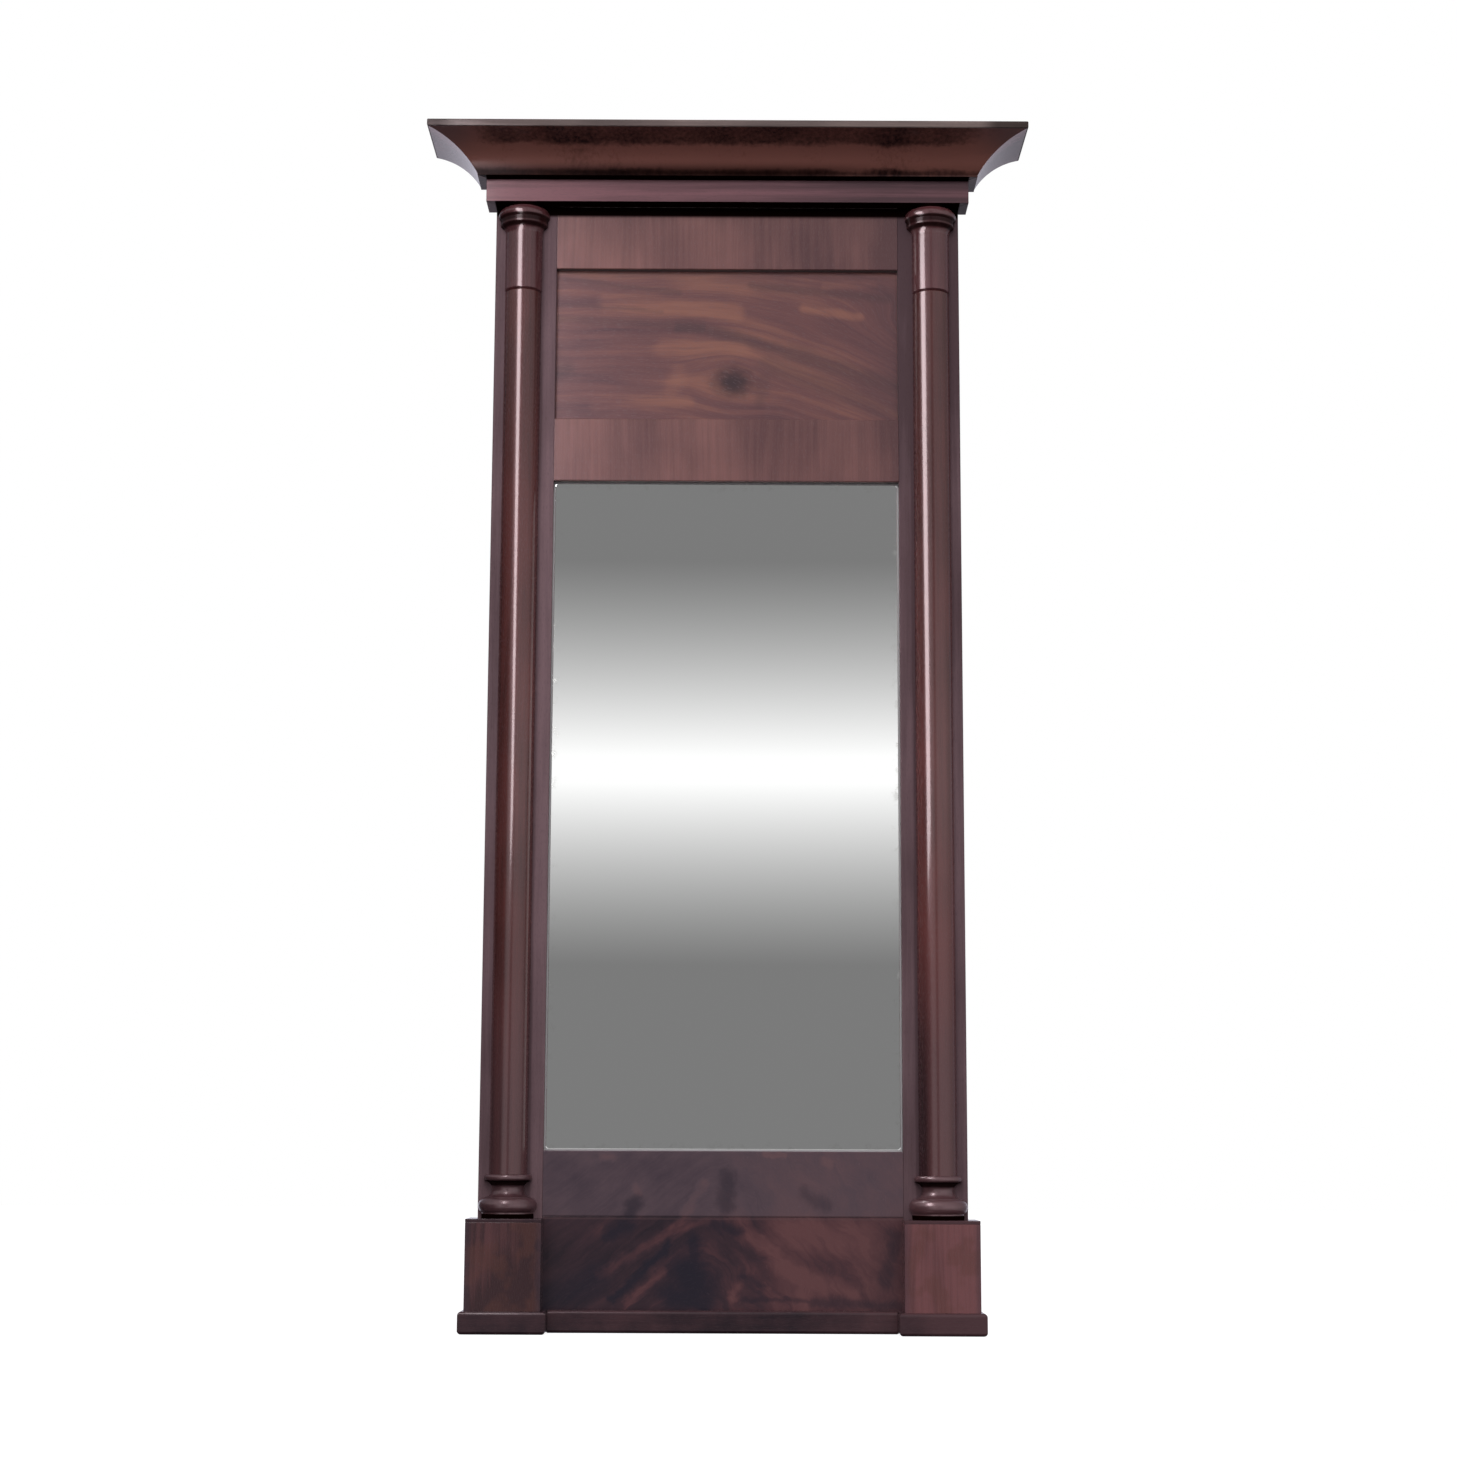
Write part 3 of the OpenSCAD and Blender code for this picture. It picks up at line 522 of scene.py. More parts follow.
# %% The plain mahoganies
RECIPES = {
    "stile": dict(seed=1, dark=(0.118, 0.072, 0.083), light=(0.25, 0.157, 0.178), shade_and_dirt=shadow_under_band,
                  shade=stile_shade, gloss=0.3, coat=0.0, shine=0.05),
    "rail": dict(seed=2, dark=(0.12, 0.053, 0.056), light=(0.3, 0.13, 0.118), streaky=0.28,
                 cloudy=0.7, shade_and_dirt=shadow_under_band, shade=rail_shade),
    "shaft": dict(seed=3, dark=(0.05, 0.013, 0.012), light=(0.155, 0.041, 0.038),
                  shade=shaft_shade, over=shaft_casts),
    "capital": dict(seed=4, dark=(0.05, 0.013, 0.017), light=(0.14, 0.045, 0.05),
                    shade_and_dirt=capital_undersides_shade, shade=capital_shade),
    "moulding": dict(seed=5, dark=(0.02, 0.006, 0.006), light=(0.31, 0.12, 0.098), shade_and_dirt=cove_foot_shade,
                     shade=cove_shade, over=cove_casts, gloss=0.2, coat=0.12, shine=0.3),
    # Painted light: the returns are the cove's wood made lighter, with a painted highlight at the
    # mitre.
    "return": dict(seed=5, dark=(0.06, 0.027, 0.033), light=(0.34, 0.17, 0.19),
                   shade_and_dirt=cove_underside, shade=mitre_light, coat=0.35, shine=0.35),
    "band": dict(seed=6, dark=(0.105, 0.057, 0.068), light=(0.3, 0.14, 0.165), direction="x",
                 cloudy=0.3, shade_and_dirt=band_underside_shade, shade=band_shade, coat=0.12, shine=0.2),
    "fillet": dict(seed=7, dark=(0.1, 0.078, 0.075), light=(0.29, 0.215, 0.2), direction="x",
                   shade_and_dirt=dark_ends, coat=0.12, shine=0.2),
    "plinth": dict(seed=8, dark=(0.035, 0.012, 0.015), light=(0.23, 0.085, 0.09),
                   shade=plinth_shade, over=plinth_casts, coat=0.3),
    "base": dict(seed=9, dark=(0.017, 0.01, 0.016), light=(0.088, 0.04, 0.047), direction="x",
                 streaky=0.25, shade=base_top_highlight, coat=0.2, shine=0.35),
    "column_base": dict(seed=10, dark=(0.05, 0.02, 0.025), light=(0.12, 0.055, 0.062),
                        shade_and_dirt=column_base_shadows, shade=column_base_shade, gloss=0.3, coat=0.35,
                        shine=0.9),
}
WOODS = {name: mahogany(name + "_mahogany", **recipe) for name, recipe in RECIPES.items()}
print("plain mahoganies:", ", ".join(WOODS))

# %% [markdown]
# Painting a figure with strokes
#
# Noise gives wood its grain, but a show veneer has marks in known places, and these are
# drawn the way a grainer does it: one soft stroke from here to there, this wide and this
# strong. Each stroke is the distance to a line, with noise to fray its edge.

# %% A soft stroke
def stroke(maker, x, z, marks):
    """The strongest of some strokes. A mark is x, z, x, z and width in mm, and strength."""
    strongest = None
    for x0, z0, x1, z1, width, strength in marks:
        run, rise = (x1 - x0) * MM, (z1 - z0) * MM
        from_x, from_z = x - x0 * MM, z - z0 * MM
        share = (from_x * run + from_z * rise) / (run * run + rise * rise)
        share = share.larger(0.0).smaller(1.0)
        off_x, off_z = from_x - share * run, from_z - share * rise
        distance = (off_x * off_x + off_z * off_z) ** 0.5
        mark = maker.fade(distance, width * MM, 0.1 * width * MM, 0.0, strength)
        strongest = mark if strongest is None else strongest.larger(mark)
    return strongest


def frayed(maker, value, x, z, size, amount, seed):
    """A coordinate pushed about by noise, so that strokes lose their straight edges."""
    noise = maker.noise(x / size, seed, z / size)
    return value + (noise - 0.5) * amount


# %% [markdown]
# The tablet's figure
#
# The tablet is the show piece: one leaf of veneer with its grain running across, in long
# brown streaks that slope down to the right, and a dark knot that the grain parts round.
# A knot is easiest as a bend of the pattern's own coordinates: pushing them away from one
# point makes every streak part round it, as the fibres did round the branch.

# %% The tablet's marks and colours
KNOT_X = 8 * MM
KNOT_Z = 1148 * MM
KNOT_R = 20 * MM
KNOT_WIDER = 1.25
TABLET_DARK = [
    (-212, 1228, -60, 1220, 9, 0.5), (-62, 1219, -30, 1217, 12, 0.95),
    (-30, 1217, 78, 1186, 12, 0.7), (78, 1186, 210, 1142, 18, 0.6),
    (-200, 1279, -60, 1262, 6, 0.5), (30, 1272, 200, 1256, 9, 0.55),
    (-205, 1246, -80, 1238, 5, 0.35), (-212, 1158, -200, 1164, 18, 0.7),
    (50, 1160, 40, 1120, 12, 0.35), (50, 1172, 205, 1110, 20, 0.42),
]
TABLET_LIGHT = [
    (-150, 1250, 10, 1238, 18, 0.85), (95, 1242, 165, 1232, 9, 0.9),
    (-75, 1190, 15, 1194, 24, 0.6), (-160, 1116, -50, 1124, 14, 0.6),
    (-60, 1160, -70, 1130, 20, 0.5), (120, 1272, 180, 1274, 8, 0.4),
]
TABLET_TONES = [(0.15, (0.11, 0.052, 0.062)), (0.5, (0.19, 0.078, 0.078)),
                (0.9, (0.34, 0.14, 0.1))]
DARK_STREAK = (0.075, 0.045, 0.052)
KNOT_BROWN = (0.03, 0.022, 0.03)
TABLET_PORES = (0.04, 0.016, 0.014)

# %% The lines that the tablet's grain follows
SLOPE_FROM = -60 * MM
RIBBON = 20 * MM
RIBBON_RUN = 220 * MM


def knot_distance(maker, x, z):
    """How many times the knot's radius a point lies from its middle."""
    from_knot = maker.vector((x - KNOT_X) / (KNOT_WIDER * KNOT_R), 0.0, (z - KNOT_Z) / KNOT_R)
    return maker.node("ShaderNodeVectorMath", from_knot, operation="LENGTH", output=1)


def tablet_level(maker, x, z, distance):
    """The height a fibre would have on a straight board: it slopes, wanders and parts."""
    right = (x - SLOPE_FROM).larger(0.0)
    fall = right * right * maker.fade(z, 1285 * MM, 1200 * MM, 0.35, 1.1)
    wander = maker.noise(x / (120 * MM), 0.0, z / (50 * MM), detail=2.0)
    level = z + fall + (wander - 0.5) * (12 * MM)
    return level - (z - KNOT_Z) * maker.fade(distance, 3.2, 0.4) * 0.7


# %% The tablet's veneer
def tablet_veneer():
    material, maker = new_material("tablet_mahogany")
    x, y, z = place(maker)
    distance = knot_distance(maker, x, z)
    level = tablet_level(maker, x, z, distance)
    streaks, fibres, pores, clouds = grain(maker, level * 0.62, y, x * 0.8, 11)
    wide = maker.noise(x / RIBBON_RUN, 3.0, level / RIBBON)
    tone = 0.5 + (wide - 0.5) * 0.9 + (streaks - 0.5) * 0.55 + (fibres - 0.5) * 0.25
    tone = tone + (clouds - 0.5) * 0.8 + maker.fade(x.absolute(), 20 * MM, 190 * MM, 0.08, -0.1)
    frayed_x = frayed(maker, x, x, z, 30 * MM, 16 * MM, 1.0)
    frayed_z = frayed(maker, z, x * 0.35, z, 12 * MM, 9 * MM, 2.0)
    light = stroke(maker, frayed_x, frayed_z, TABLET_LIGHT)
    colour = maker.ramp(tone + light * 0.35, TABLET_TONES)
    dark = stroke(maker, frayed_x, frayed_z, TABLET_DARK)
    colour = maker.blend(dark * 0.75, colour, DARK_STREAK)
    rag = maker.noise(x / (16 * MM), 0.0, z / (10 * MM))
    knot = maker.fade(distance + (rag - 0.5) * 0.7, 1.5, 0.15)
    colour = maker.blend(knot * 0.9, colour, KNOT_BROWN)
    colour = maker.blend(pores * PORE_SHARE, colour, TABLET_PORES)
    return polish(maker, material, colour, pores)


WOODS["tablet"] = tablet_veneer()
print("strokes on the tablet:", len(TABLET_DARK), "dark,", len(TABLET_LIGHT), "light")

# %% [markdown]
# The flamed panel
#
# Below the glass the veneer comes from a crotch, where two limbs met. Its streaks fall away
# to both sides of a dark heart like a plume. The height plus a share of the distance from
# the heart gives lines of that shape, and noise along them gives the flames. One figure runs
# over the apron and the panel below it, so both share one material, misty above the seam
# and deep below it.

# %% The flame's marks and colours
HEART_X = -36 * MM
HEART_Z = 62 * MM
HEART_LEAN = 0.25
PLUME_ROUND = 14 * MM
SEAM_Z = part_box("apron_veneer")[0].z
FLAME_DARK = [
    (-103, 150, -108, 136, 15, 0.9), (-112, 122, -132, 112, 15, 0.9),
    (-62, 100, -128, 38, 9, 0.95), (-40, 72, -32, 50, 42, 1.0), (-34, 104, -34, 70, 17, 0.95),
    (-60, 42, -22, 34, 26, 0.95), (5, 178, 4, 146, 17, 0.75), (-10, 124, 16, 116, 13, 0.7),
    (24, 66, 44, 54, 10, 0.7), (-200, 40, -150, 60, 32, 0.75), (24, 38, 110, 37, 5, 0.5),
    (105, 35, 205, 31, 10, 0.55), (96, 160, 120, 146, 14, 0.5), (190, 60, 204, 110, 16, 0.5),
]
FLAME_LIGHT = [
    (-48, 124, -142, 66, 10, 0.9), (-70, 70, -112, 32, 10, 0.9), (-22, 172, -46, 136, 9, 0.6),
    (30, 112, 60, 100, 22, 0.7), (70, 118, 170, 108, 30, 0.55), (60, 80, 150, 44, 16, 0.6),
    (18, 52, 10, 40, 9, 0.8), (-140, 203, -132, 201, 9, 0.8), (50, 206, 72, 204, 5, 0.9),
    (118, 200, 126, 194, 8, 0.8), (-104, 166, -98, 160, 6, 0.5), (-64, 118, -40, 124, 12, 0.5),
]
DEEP_TONES = [(0.05, (0.022, 0.015, 0.024)), (0.36, (0.05, 0.026, 0.036)),
              (0.62, (0.097, 0.041, 0.049)), (0.95, (0.165, 0.069, 0.073))]
MISTY_TONES = [(0.1, (0.074, 0.052, 0.071)), (0.4, (0.118, 0.079, 0.098)),
               (0.8, (0.174, 0.098, 0.11))]
HEART_BLACK = (0.01, 0.012, 0.025)
SEAM_BLACK = (0.014, 0.01, 0.014)
SEAM_PALE_LINE = (0.14, 0.08, 0.085)

# %% The lines that the flames follow
FLAME_SIZE = 20 * MM
FLAME_RUN = 80 * MM
FLAME_FIBRE = 2.4 * MM
FLAME_FIBRE_RUN = 50 * MM
PATCH = 60 * MM
PATCH_HIGH = 50 * MM


def plume_lines(maker, x, z):
    """Where a point lies across the plume's lines, and how far out to the side along them."""
    wander = maker.noise(x / PATCH, 0.0, z / PATCH_HIGH)
    side = x - HEART_X - (z - HEART_Z) * HEART_LEAN + (wander - 0.5) * (50 * MM)
    reach = (side * side + PLUME_ROUND * PLUME_ROUND) ** 0.5
    return z + reach * 0.95 + (wander - 0.5) * (20 * MM), side


# %% The flamed veneer
def flame_veneer():
    material, maker = new_material("flame_mahogany")
    x, y, z = place(maker)
    plume, side = plume_lines(maker, x, z)
    flames = maker.noise(plume / FLAME_SIZE, 0.0, side / FLAME_RUN, distortion=0.6)
    fibres = maker.noise(plume / FLAME_FIBRE, 4.0, side / FLAME_FIBRE_RUN, detail=2.0)
    pores = maker.fade(maker.noise(plume / PORE, 0.0, side / PORE_RUN), 0.6, 0.72)
    clouds = maker.noise(x / PATCH, 7.0, z / PATCH_HIGH, detail=4.0)
    frayed_x = frayed(maker, x, x, z, 14 * MM, 18 * MM, 3.0)
    frayed_z = frayed(maker, z, x, z, 16 * MM, 16 * MM, 4.0)
    dark = stroke(maker, frayed_x, frayed_z, FLAME_DARK)
    light = stroke(maker, frayed_x, frayed_z, FLAME_LIGHT)
    panel = maker.fade(z, SEAM_Z + 3 * MM, SEAM_Z - 1 * MM)
    tone = 0.36 + (flames - 0.5) * (0.35 + 0.65 * panel) + (clouds - 0.5) * 0.9
    tone = tone + (fibres - 0.5) * 0.2 + light * 0.42
    tone = tone + maker.fade(x, -80 * MM, 100 * MM, -0.12, 0.33) * (0.5 + 0.5 * panel)
    colour = maker.blend(1.0 - panel, maker.ramp(tone, DEEP_TONES), maker.ramp(tone, MISTY_TONES))
    colour = maker.blend(dark * (0.7 + 0.23 * panel), colour, HEART_BLACK)
    seam = maker.line(z, SEAM_Z + 0.5 * MM, 1.5 * MM, 0.3 * MM)
    # A pale line runs just under the seam.
    pale_edge = maker.line(z, SEAM_Z - 2.2 * MM, 1.5 * MM, 0.3 * MM)
    colour = maker.blend(seam * 0.5, colour, SEAM_BLACK)
    colour = maker.blend(pale_edge * 0.3, colour, SEAM_PALE_LINE)
    return polish(maker, material, colour, pores, coat=0.22, shine=0.35)


WOODS["flame"] = flame_veneer()
print("strokes on the panel:", len(FLAME_DARK), "dark,", len(FLAME_LIGHT), "light")

# %% [markdown]
# Softwood for what nobody sees
#
# The frame, the backboards and the glue blocks are plain pine that has gone brown. Early
# and late wood make wide pale and narrow dark bands, and the boards still show the saw.
# Where the pine shows between the veneers and at the sides it was stained to match them.

# %% Pine
YEAR = 7.5 * MM
RING_WANDER = 50 * MM
PINE_FIBRE = 1.1 * MM
PINE_FIBRE_RUN = 60 * MM
SAW_TOOTH = 3.5 * MM
SAW_DEPTH = 0.12 * MM
FIBRE_DEPTH = 0.1 * MM
EARLY_WOOD = (0.43, 0.27, 0.145)
LATE_WOOD = (0.27, 0.135, 0.06)
FIBRE_BROWN = (0.3, 0.18, 0.095)
PINE_DIRT = (0.13, 0.085, 0.055)
STAIN = (0.055, 0.027, 0.029)
STAIN_Y = WALL_Y - 11.9 * MM


def pine(name, direction, seed):
    material, maker = new_material(name)
    x, y, z = place(maker)
    across, along = (x, z) if direction == "z" else (z, x)
    wander = maker.noise(across / (90 * MM), seed, along / (500 * MM), detail=2.0)
    rings = (across + (wander - 0.5) * RING_WANDER) / YEAR + seed
    late = maker.fade((rings * math.pi).sine().absolute(), 0.75, 1.0)
    fibres = maker.noise(across / PINE_FIBRE, y / PINE_FIBRE, along / PINE_FIBRE_RUN, detail=2.0)
    shade_and_dirt = maker.noise(x / (130 * MM), y / (130 * MM), z / (200 * MM), detail=4.0, roughness=0.6)
    colour = maker.blend(late * 0.5, EARLY_WOOD, LATE_WOOD)
    colour = maker.blend(fibres * 0.45, colour, FIBRE_BROWN)
    colour = maker.blend(maker.fade(shade_and_dirt, 0.45, 0.75) * 0.55, colour, PINE_DIRT)
    in_front = maker.fade(y, STAIN_Y, STAIN_Y - 0.1 * MM)
    at_side = maker.fade(x.absolute(), SIDE_X - 0.3 * MM, SIDE_X - 0.1 * MM)
    colour = maker.blend(in_front.larger(at_side), colour, STAIN)
    saw = (along / SAW_TOOTH + shade_and_dirt * 3.0).sine()
    surface = maker.bump(saw, SAW_DEPTH, 0.25, under=maker.bump(fibres, FIBRE_DEPTH, 0.4))
    return finish_material(maker, material, Base_Color=colour, Roughness=0.75 - fibres * 0.15,
                           Normal=surface)


PINES = {"z": pine("pine_upright", "z", 1), "x": pine("pine_level", "x", 2)}

# %% [markdown]
# Iron and the silvered plate
#
# The hanging plates, screws and nails are blackened iron with a little rust. The mirror is
# silver behind glass: for a render, a smooth metal with a faint grey veil where the silver
# has aged, near the edges of the plate. Its ground bevel catches the light as a pale line.

# %% Iron
RUST_SPOT = 6 * MM
BLACK_IRON = (0.045, 0.042, 0.04)
RUST = (0.13, 0.055, 0.028)


def iron(name):
    material, maker = new_material(name)
    x, y, z = place(maker)
    spots = maker.noise(x / RUST_SPOT, y / RUST_SPOT, z / RUST_SPOT, detail=5.0, roughness=0.65)
    rust = maker.fade(spots, 0.52, 0.68)
    colour = maker.blend(rust * 0.8, BLACK_IRON, RUST)
    return finish_material(maker, material, Base_Color=colour, Metallic=0.9 - rust * 0.7,
                           Roughness=0.42 + rust * 0.35, Normal=maker.bump(spots, 0.15 * MM, 0.5))


IRON = iron("blackened_iron")


# %% The silvered glass
BEVEL_SHOWS = 1.9 * MM
BEVEL_CORNER = 5.5 * MM
SIGHT_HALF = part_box("stile_veneer_right")[0].x
SIGHT_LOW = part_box("apron_veneer")[1].z
SIGHT_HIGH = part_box("mid_rail_veneer")[0].z
VEIL_SPOT = 20 * MM
VEIL_REACH = 12 * MM
SILVER = (0.96, 0.965, 0.96)
VEILED_SILVER = (0.6, 0.59, 0.56)
GROUND_BEVEL = (0.62, 0.6, 0.62)
print("sight size of the glass, in metres:", round(2 * SIGHT_HALF, 4), "by",
      round(SIGHT_HIGH - SIGHT_LOW, 4))


def past_sight(maker, x, z):
    """How far a point lies outside the opening, whose corners are round. Negative inside."""
    middle, half = (SIGHT_HIGH + SIGHT_LOW) / 2, (SIGHT_HIGH - SIGHT_LOW) / 2
    past_x = x.absolute() - (SIGHT_HALF - BEVEL_CORNER)
    past_z = (z - middle).absolute() - (half - BEVEL_CORNER)
    out_x, out_z = past_x.larger(0.0), past_z.larger(0.0)
    corner = (out_x * out_x + out_z * out_z) ** 0.5
    return corner + past_x.larger(past_z).smaller(0.0) - BEVEL_CORNER


def silvered_glass():
    """Silver behind glass, a few spots near its edges, and the ground bevel as a pale line."""
    material, maker = new_material("silvered_glass")
    x, y, z = place(maker)
    out = past_sight(maker, x, z)
    bevel = maker.fade(out, -BEVEL_SHOWS - 0.1 * MM, -BEVEL_SHOWS + 0.1 * MM)
    spots = maker.noise(x / VEIL_SPOT, 0.0, z / VEIL_SPOT, detail=5.0, roughness=0.7)
    veil = maker.fade(out + (spots - 0.5) * VEIL_SPOT, -VEIL_REACH, 0.0)
    veil = veil * maker.fade(spots, 0.5, 0.66)
    colour = maker.blend(veil * 0.3, SILVER, VEILED_SILVER)
    colour = maker.blend(bevel, colour, GROUND_BEVEL)
    return finish_material(maker, material, Base_Color=colour, Metallic=1.0 - bevel,
                           Roughness=0.012 + veil * 0.1 + bevel * 0.4, Specular_IOR_Level=0.05)


MIRROR = silvered_glass()

# %% [markdown]
# Softening the edges
#
# A hand-planed edge is never sharp: a fine round catches the light along every moulding and
# turns a model into furniture. The joiner's solids stay as they are, so each polished piece
# is a copy of its solid, with its triangles merged, its flat faces joined and its sharp
# edges bevelled by half a millimetre.

# %% A softened copy of a solid
SOFT_EDGE = 0.5 * MM
SOFT_IRON_EDGE = 0.4 * MM
EDGE_STEPS = 2
SHARP = math.radians(28)
FLAT = math.radians(0.4)
WELD = 0.001 * MM


def add_object(name, data):
    piece = bpy.data.objects.new(name, data)
    bpy.context.scene.collection.objects.link(piece)
    return piece


def apply_modifiers(piece):
    graph = bpy.context.evaluated_depsgraph_get()
    mesh = bpy.data.meshes.new_from_object(piece.evaluated_get(graph))
    piece.modifiers.clear()
    piece.data = mesh
    mesh.name = piece.name


def stand_for(piece, node):
    """Hides the solid of a node behind this piece, which takes its place."""
    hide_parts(node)
    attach(piece, "root")


def joined_mesh(node):
    """A copy of a solid's mesh with its corners merged and its flat faces joined."""
    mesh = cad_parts[node].data.copy()
    mesh.materials.clear()
    imported = mesh.attributes.get("custom_normal")
    if imported:
        mesh.attributes.remove(imported)
    work = bmesh.new()
    work.from_mesh(mesh)
    bmesh.ops.remove_doubles(work, verts=work.verts, dist=WELD)
    bmesh.ops.dissolve_limit(work, angle_limit=FLAT, verts=work.verts, edges=work.edges)
    work.to_mesh(mesh)
    work.free()
    mesh.shade_smooth()
    return mesh


def soften(node, width, material):
    """Makes a copy of a solid with soft edges, which stands for it."""
    piece = add_object("polished_" + node, joined_mesh(node))
    bevel = piece.modifiers.new("soft_edges", "BEVEL")
    bevel.width = width
    bevel.segments = EDGE_STEPS
    bevel.limit_method = "ANGLE"
    bevel.angle_limit = SHARP
    bevel.use_clamp_overlap = True
    shading = piece.modifiers.new("flat_faces_stay_flat", "WEIGHTED_NORMAL")
    shading.weight = 100
    apply_modifiers(piece)
    piece.data.materials.append(material)
    stand_for(piece, node)


# %% Which solid gets which finish
def pairs(*names):
    """The left and the right node of each name."""
    return [name + side for name in names for side in ("_left", "_right")]


POLISHED = {
    "stile": pairs("stile_veneer"),
    "rail": ["frieze_veneer", "mid_rail_veneer"],
    "tablet": ["tablet_veneer"],
    "flame": ["apron_veneer", "plinth_panel_veneer"],
    "band": ["architrave_front", *pairs("architrave")],
    "moulding": ["cornice_cove_front"],
    "return": pairs("cornice_cove"),
    "fillet": ["cornice_fillet_front", *pairs("cornice_fillet")],
    "capital": pairs("capital"),
    "shaft": pairs("shaft"),
    "column_base": pairs("column_base"),
    "base": [*pairs("plinth_cap", "base_front", "base_outer", "base_inner"), "base_middle"],
    "plinth": pairs("plinth_front", "plinth_outer", "plinth_inner"),
}

for finish_name, nodes in POLISHED.items():
    for node in nodes:
        soften(node, SOFT_EDGE, WOODS[finish_name])
soften("hanging_plates", SOFT_IRON_EDGE, IRON)
print("polished pieces:", sum(len(nodes) for nodes in POLISHED.values()))

# %% The solids that stay as they are
PINE_ACROSS = ["bottom_rail", "apron_rail", "mid_rail", "frieze_rail", "head_rail",
               "cornice_top_board", "cornice_blocks", "tablet_panel", "backboard_tablet"]
PINE_UPRIGHT = ["stile_left", "stile_right", "backboard_left", "backboard_middle",
                "backboard_right", "glass_packing", "plinth_cores", "frame_pegs"]
PLAIN = {
    **{node: PINES["x"] for node in PINE_ACROSS},
    **{node: PINES["z"] for node in PINE_UPRIGHT},
    "mirror_glass": MIRROR,
}
for node, material in PLAIN.items():
    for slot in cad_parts[node].material_slots:
        slot.material = material
print("solids with a new finish only:", len(PLAIN))

# %% [markdown]
# Nails and screws
#
# A fastener repeats, so it is made once and set on points. The points are the middles of the
# joiner's plain pins. A node tree makes one head and one shank, cuts a slot into the head of
# a screw, turns each copy by a random angle and sets it with its head against the wall.

# %% A tree that sets one fastener on every point
FASTENER_SIZES = ("Head Radius", "Head Top Radius", "Head Depth", "Shank Radius", "Length",
                  "Slot Width", "Slot Depth")
TIP_SHARE = 0.4
TURN_SEED = 4


def fastener_tree(sides):
    """A tree with named sizes, whose fasteners have heads with this many sides."""
    tree = bpy.data.node_groups.new("fastener_on_points", "GeometryNodeTree")
    tree.interface.new_socket("Points", in_out="INPUT", socket_type="NodeSocketGeometry")
    for title in FASTENER_SIZES:
        tree.interface.new_socket(title, in_out="INPUT", socket_type="NodeSocketFloat")
    tree.interface.new_socket("Fasteners", in_out="OUTPUT", socket_type="NodeSocketGeometry")
    maker = Maker(tree)
    given = maker.node("NodeGroupInput").socket.node.outputs
    points = Wire(maker, given["Points"])
    radius, top_radius, depth, shank_radius, length, slot_width, slot_depth = [
        Wire(maker, given[title]) for title in FASTENER_SIZES]

    def cone(lower, upper, height, by):
        shape = maker.node("GeometryNodeMeshCone", sides, 1, 1, lower, upper, height)
        return maker.node("GeometryNodeTransform",
                          named={"Geometry": shape, "Translation": maker.vector(0.0, 0.0, 0.0 - by)})

    shank = cone(shank_radius, shank_radius * TIP_SHARE, length - depth, length)
    both = maker.node("GeometryNodeJoinGeometry", shank)
    head = cone(top_radius, radius, depth, depth)
    slot = maker.node("GeometryNodeMeshCube", maker.vector(radius * 4.0, slot_width, slot_depth * 2.0))
    head = maker.node("GeometryNodeMeshBoolean", head, slot, operation="DIFFERENCE")
    maker.feed(both.socket.node.inputs[0], head)
    turn = maker.node("FunctionNodeRandomValue", None, None, 0.0, math.pi, output=1,
                      named={"Seed": TURN_SEED})
    rotation = maker.vector(-math.pi / 2, turn, 0.0)
    copies = maker.node("GeometryNodeInstanceOnPoints",
                        named={"Points": points, "Instance": both, "Rotation": rotation})
    solid = maker.node("GeometryNodeRealizeInstances", copies)
    finished = maker.node("GeometryNodeSetMaterial", named={"Geometry": solid, "Material": IRON})
    maker.node("NodeGroupOutput", finished)
    return tree


# %% The middles of the joiner's pins
def solid_centres(node):
    """The x and z of the middle of each separate solid in a node."""
    work = bmesh.new()
    work.from_mesh(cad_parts[node].data)
    bmesh.ops.remove_doubles(work, verts=work.verts, dist=WELD)
    left = set(work.verts)
    centres = []
    while left:
        island = front = [left.pop()]
        while front:
            near = {edge.other_vert(vert) for vert in front for edge in vert.link_edges} & left
            left -= near
            front = list(near)
            island = island + front
        spans = [[vert.co[axis] for vert in island] for axis in (0, 2)]
        centres.append([(min(span) + max(span)) / 2 for span in spans])
    work.free()
    return sorted(centres)


# %% Nails with hammered heads, and slotted screws
HAMMERED = 5
ROUND = 24
NAIL = {"Head Radius": 2.2 * MM, "Head Top Radius": 0.8 * MM, "Head Depth": 0.9 * MM,
        "Shank Radius": 0.8 * MM, "Length": 13.9 * MM, "Slot Width": 0.0, "Slot Depth": 0.0}
SCREW = {"Head Radius": 2.0 * MM, "Head Top Radius": 3.9 * MM, "Head Depth": 3.0 * MM,
         "Shank Radius": 1.9 * MM, "Length": 14.9 * MM, "Slot Width": 0.9 * MM,
         "Slot Depth": 1.2 * MM}
COLUMN_SCREW = {**SCREW, "Length": 33.9 * MM}


def set_fasteners(node, sides, sizes):
    mesh = bpy.data.meshes.new("made_" + node)
    mesh.from_pydata([(x, WALL_Y, z) for x, z in solid_centres(node)], [], [])
    piece = add_object("made_" + node, mesh)
    modifier = piece.modifiers.new("fasteners", "NODES")
    modifier.node_group = fastener_tree(sides)
    for item in modifier.node_group.interface.items_tree:
        if item.name in sizes:
            modifier[item.identifier] = sizes[item.name]
    apply_modifiers(piece)
    stand_for(piece, node)
    print(node, "has", len(mesh.vertices), "points,", len(piece.data.polygons), "faces")


set_fasteners("backboard_nails", HAMMERED, NAIL)
set_fasteners("hanging_screws", ROUND, SCREW)
set_fasteners("column_screws", ROUND, COLUMN_SCREW)

